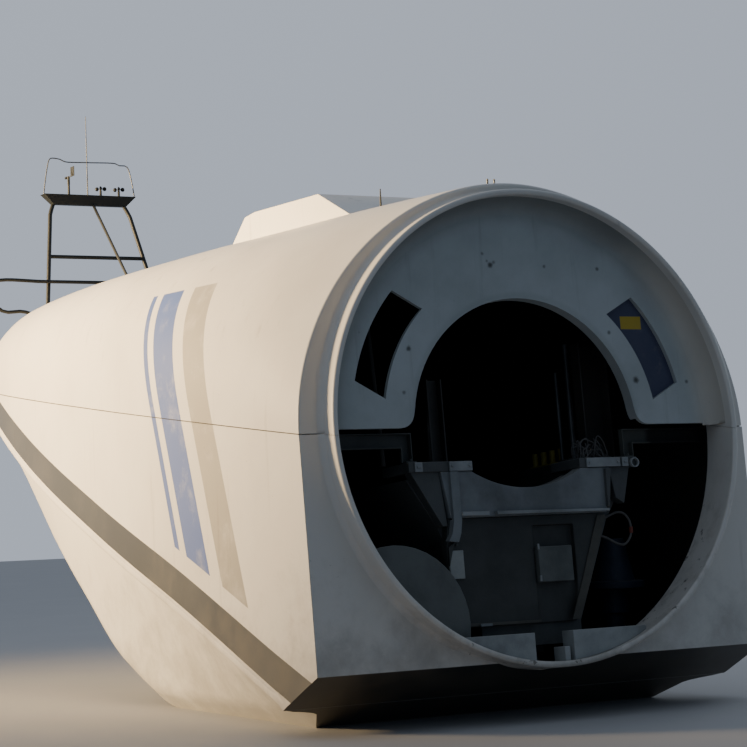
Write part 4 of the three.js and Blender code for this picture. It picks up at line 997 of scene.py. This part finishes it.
# Pipe end: a thick steel tube that is cut off square and welded to the right pedestal. It is turned from a
# section of its wall.
PIPE_AT, PIPE_OUTER, PIPE_INNER = (1.040, -0.286), 0.040, 0.031
pipe_turn = np.linspace(0, 2 * pi, 33)
pipe_depth = np.array([0.300, 0.300, 0.329, 0.329])
pipe_radius = np.array([PIPE_INNER, PIPE_OUTER, PIPE_OUTER, PIPE_INNER])
pipe_side = PIPE_AT[0] + pipe_radius[:, None] * np.cos(pipe_turn)
pipe_height = PIPE_AT[1] + pipe_radius[:, None] * np.sin(pipe_turn)
pipe_wall = square_to_rotor(pipe_side, pipe_depth[:, None], pipe_height)
pipe_bore = np.stack([pipe_wall[-1], pipe_wall[0]])
solid("pipe_end", [pipe_wall, pipe_bore], trim_finish, "casting_grey", ease=0.0015)


# Lubrication pipe and wire guard: a stiff steel pipe that loops out of the casting's edge and back, with a
# rusty union, and a crushed guard of bent wires that is wedged on the right pedestal.
def curve_through(points, steps=10):
    """A smooth curve through the points. Each span is the cubic whose slope at a point is half the step
    between that point's neighbours."""
    knots = np.asarray(points, float)
    knots = np.concatenate([2 * knots[:1] - knots[1:2], knots, 2 * knots[-1:] - knots[-2:-1]])
    share = np.linspace(0, 1, steps, endpoint=False)[None, :, None]
    before, here, after, beyond = (knots[k:len(knots) - 3 + k, None] for k in range(4))
    spans = here + 0.5 * share * (after - before + share * (
        2 * before - 5 * here + 4 * after - beyond + share * (3 * (here - after) + beyond - before)))
    return np.concatenate([spans.reshape(-1, 3), knots[-2:-1]])


LUBE_RADIUS, WIRE_RADIUS, WIRE_FOOT, WIRES = 0.011, 0.0045, -0.234, 22
LUBE_ROUTE = [(0.700, 0.425, -0.742), (0.800, 0.432, -0.712), (0.909, 0.445, -0.678), (0.987, 0.450, -0.694),
              (1.040, 0.455, -0.762), (1.037, 0.455, -0.868), (0.969, 0.450, -0.939), (0.880, 0.440, -0.930),
              (0.770, 0.430, -0.880), (0.640, 0.425, -0.850)]
lube_path = square_to_rotor(*curve_through(LUBE_ROUTE).T)
lube_finish = machine_paint("pipe_steel", (0.13, 0.125, 0.12), (0.16, 0.15, 0.14), rough=0.5, metallic=0.4)
lube_pipe = carried(lube_path, np.array([0.0, 1.0, 0.0]), round_section(LUBE_RADIUS, 14))
solid("lubrication_pipe", lube_pipe, lube_finish, "steel", smooth=60)
union = rod((1.046, 0.455, -0.800), (1.046, 0.455, -0.850), 0.018, 6)
union_finish = machine_paint("rusty_union", (0.20, 0.045, 0.025), (0.22, 0.16, 0.12))
solid("pipe_union", union, union_finish, "steel", ease=0.0015)
chance = np.random.default_rng(11)
wires = []
for _ in range(WIRES):
    start, end = (np.array([chance.uniform(0.59, 0.90), chance.uniform(0.36, 0.60), WIRE_FOOT])
                  for _ in range(2))
    lift = chance.uniform(0.05, 0.17)
    middle = (start + end) / 2 + (chance.uniform(-0.06, 0.06), chance.uniform(-0.05, 0.05), lift)
    shoulder = (start * 0.7 + middle * 0.3) + (chance.uniform(-0.03, 0.03), 0, lift * 0.45)
    wire_path = square_to_rotor(*curve_through([start, shoulder, middle, end], 7).T)
    wires += carried(wire_path, np.array([0.3, 1.0, 0.1]), round_section(WIRE_RADIUS, 6))
solid("crushed_wire_guard", wires, lube_finish, "steel", smooth=60, weld=0.00001)

# Yaw drive: a motor and gear case with a wide flange, cast and turned, in dark blue machine paint. It stands
# upright on the right of the frame, with its foot on the belly.
drive_finish = machine_paint("drive_paint", (0.030, 0.042, 0.075), (0.20, 0.20, 0.19), dust=0.35)
eased("yaw_drive", "yaw_drive_body", 0.008, drive_finish, "drive_blue")

# Studs, rods and pins: steel studs with yellow caps and two guide rods, screwed into the rail on the frame's
# right wall. The pins on the roof and the bent guard hoop and the lightning rod on the mast's tray are of the
# same galvanised steel as the rods.
stud_finish = machine_paint("stud_paint", (0.42, 0.33, 0.03), (0.35, 0.31, 0.2), dust=0.2)
eased("capped_studs", "capped_studs_row", 0.003, stud_finish, "stud_yellow")
steel_finish = machine_paint("galvanised_steel", (0.20, 0.21, 0.215), (0.22, 0.215, 0.20), dust=0.2,
                             rough=0.45, metallic=0.5)
for node, ease in (("roof_pins", 0.001), ("guard_hoop", 0.0), ("lightning_rod", 0.0), ("guide_rods", 0.002)):
    eased(node, node + "_bar", ease, steel_finish, "steel", angle=60)

# Roof hood: a ridge box moulded in the same white gelcoated laminate as the covers, bonded to the roof.
# Its edges are softly rounded.
eased("roof_hood", "roof_hood_moulding", 0.045, belly_finish, "hull_white", segments=4)

# Mast: bent and welded steel tubes on the tail that carry a folded tray, all in dark grey paint, with the
# posts of the wind instruments. The vane and the two cup rotors turn on their posts.
mast_finish = machine_paint("mast_paint", (0.017, 0.021, 0.021), (0.05, 0.05, 0.047), dust=0.3)
for node in ("roof_antenna", "mast_leg_left", "mast_leg_right", "mast_crossbar", "mast_brace",
             "mast_base_rail", "instrument_tray", "vane_post", "cup_post_left", "cup_post_right"):
    eased(node, node + "_tube", 0.0, mast_finish, "mast_grey", angle=60)
for node, body in (("wind_vane", "vane"), ("cup_rotor_left", "cups_left"), ("cup_rotor_right", "cups_right")):
    eased(node, node + "_turning", 0.0, mast_finish, "mast_grey", angle=60, body=body)
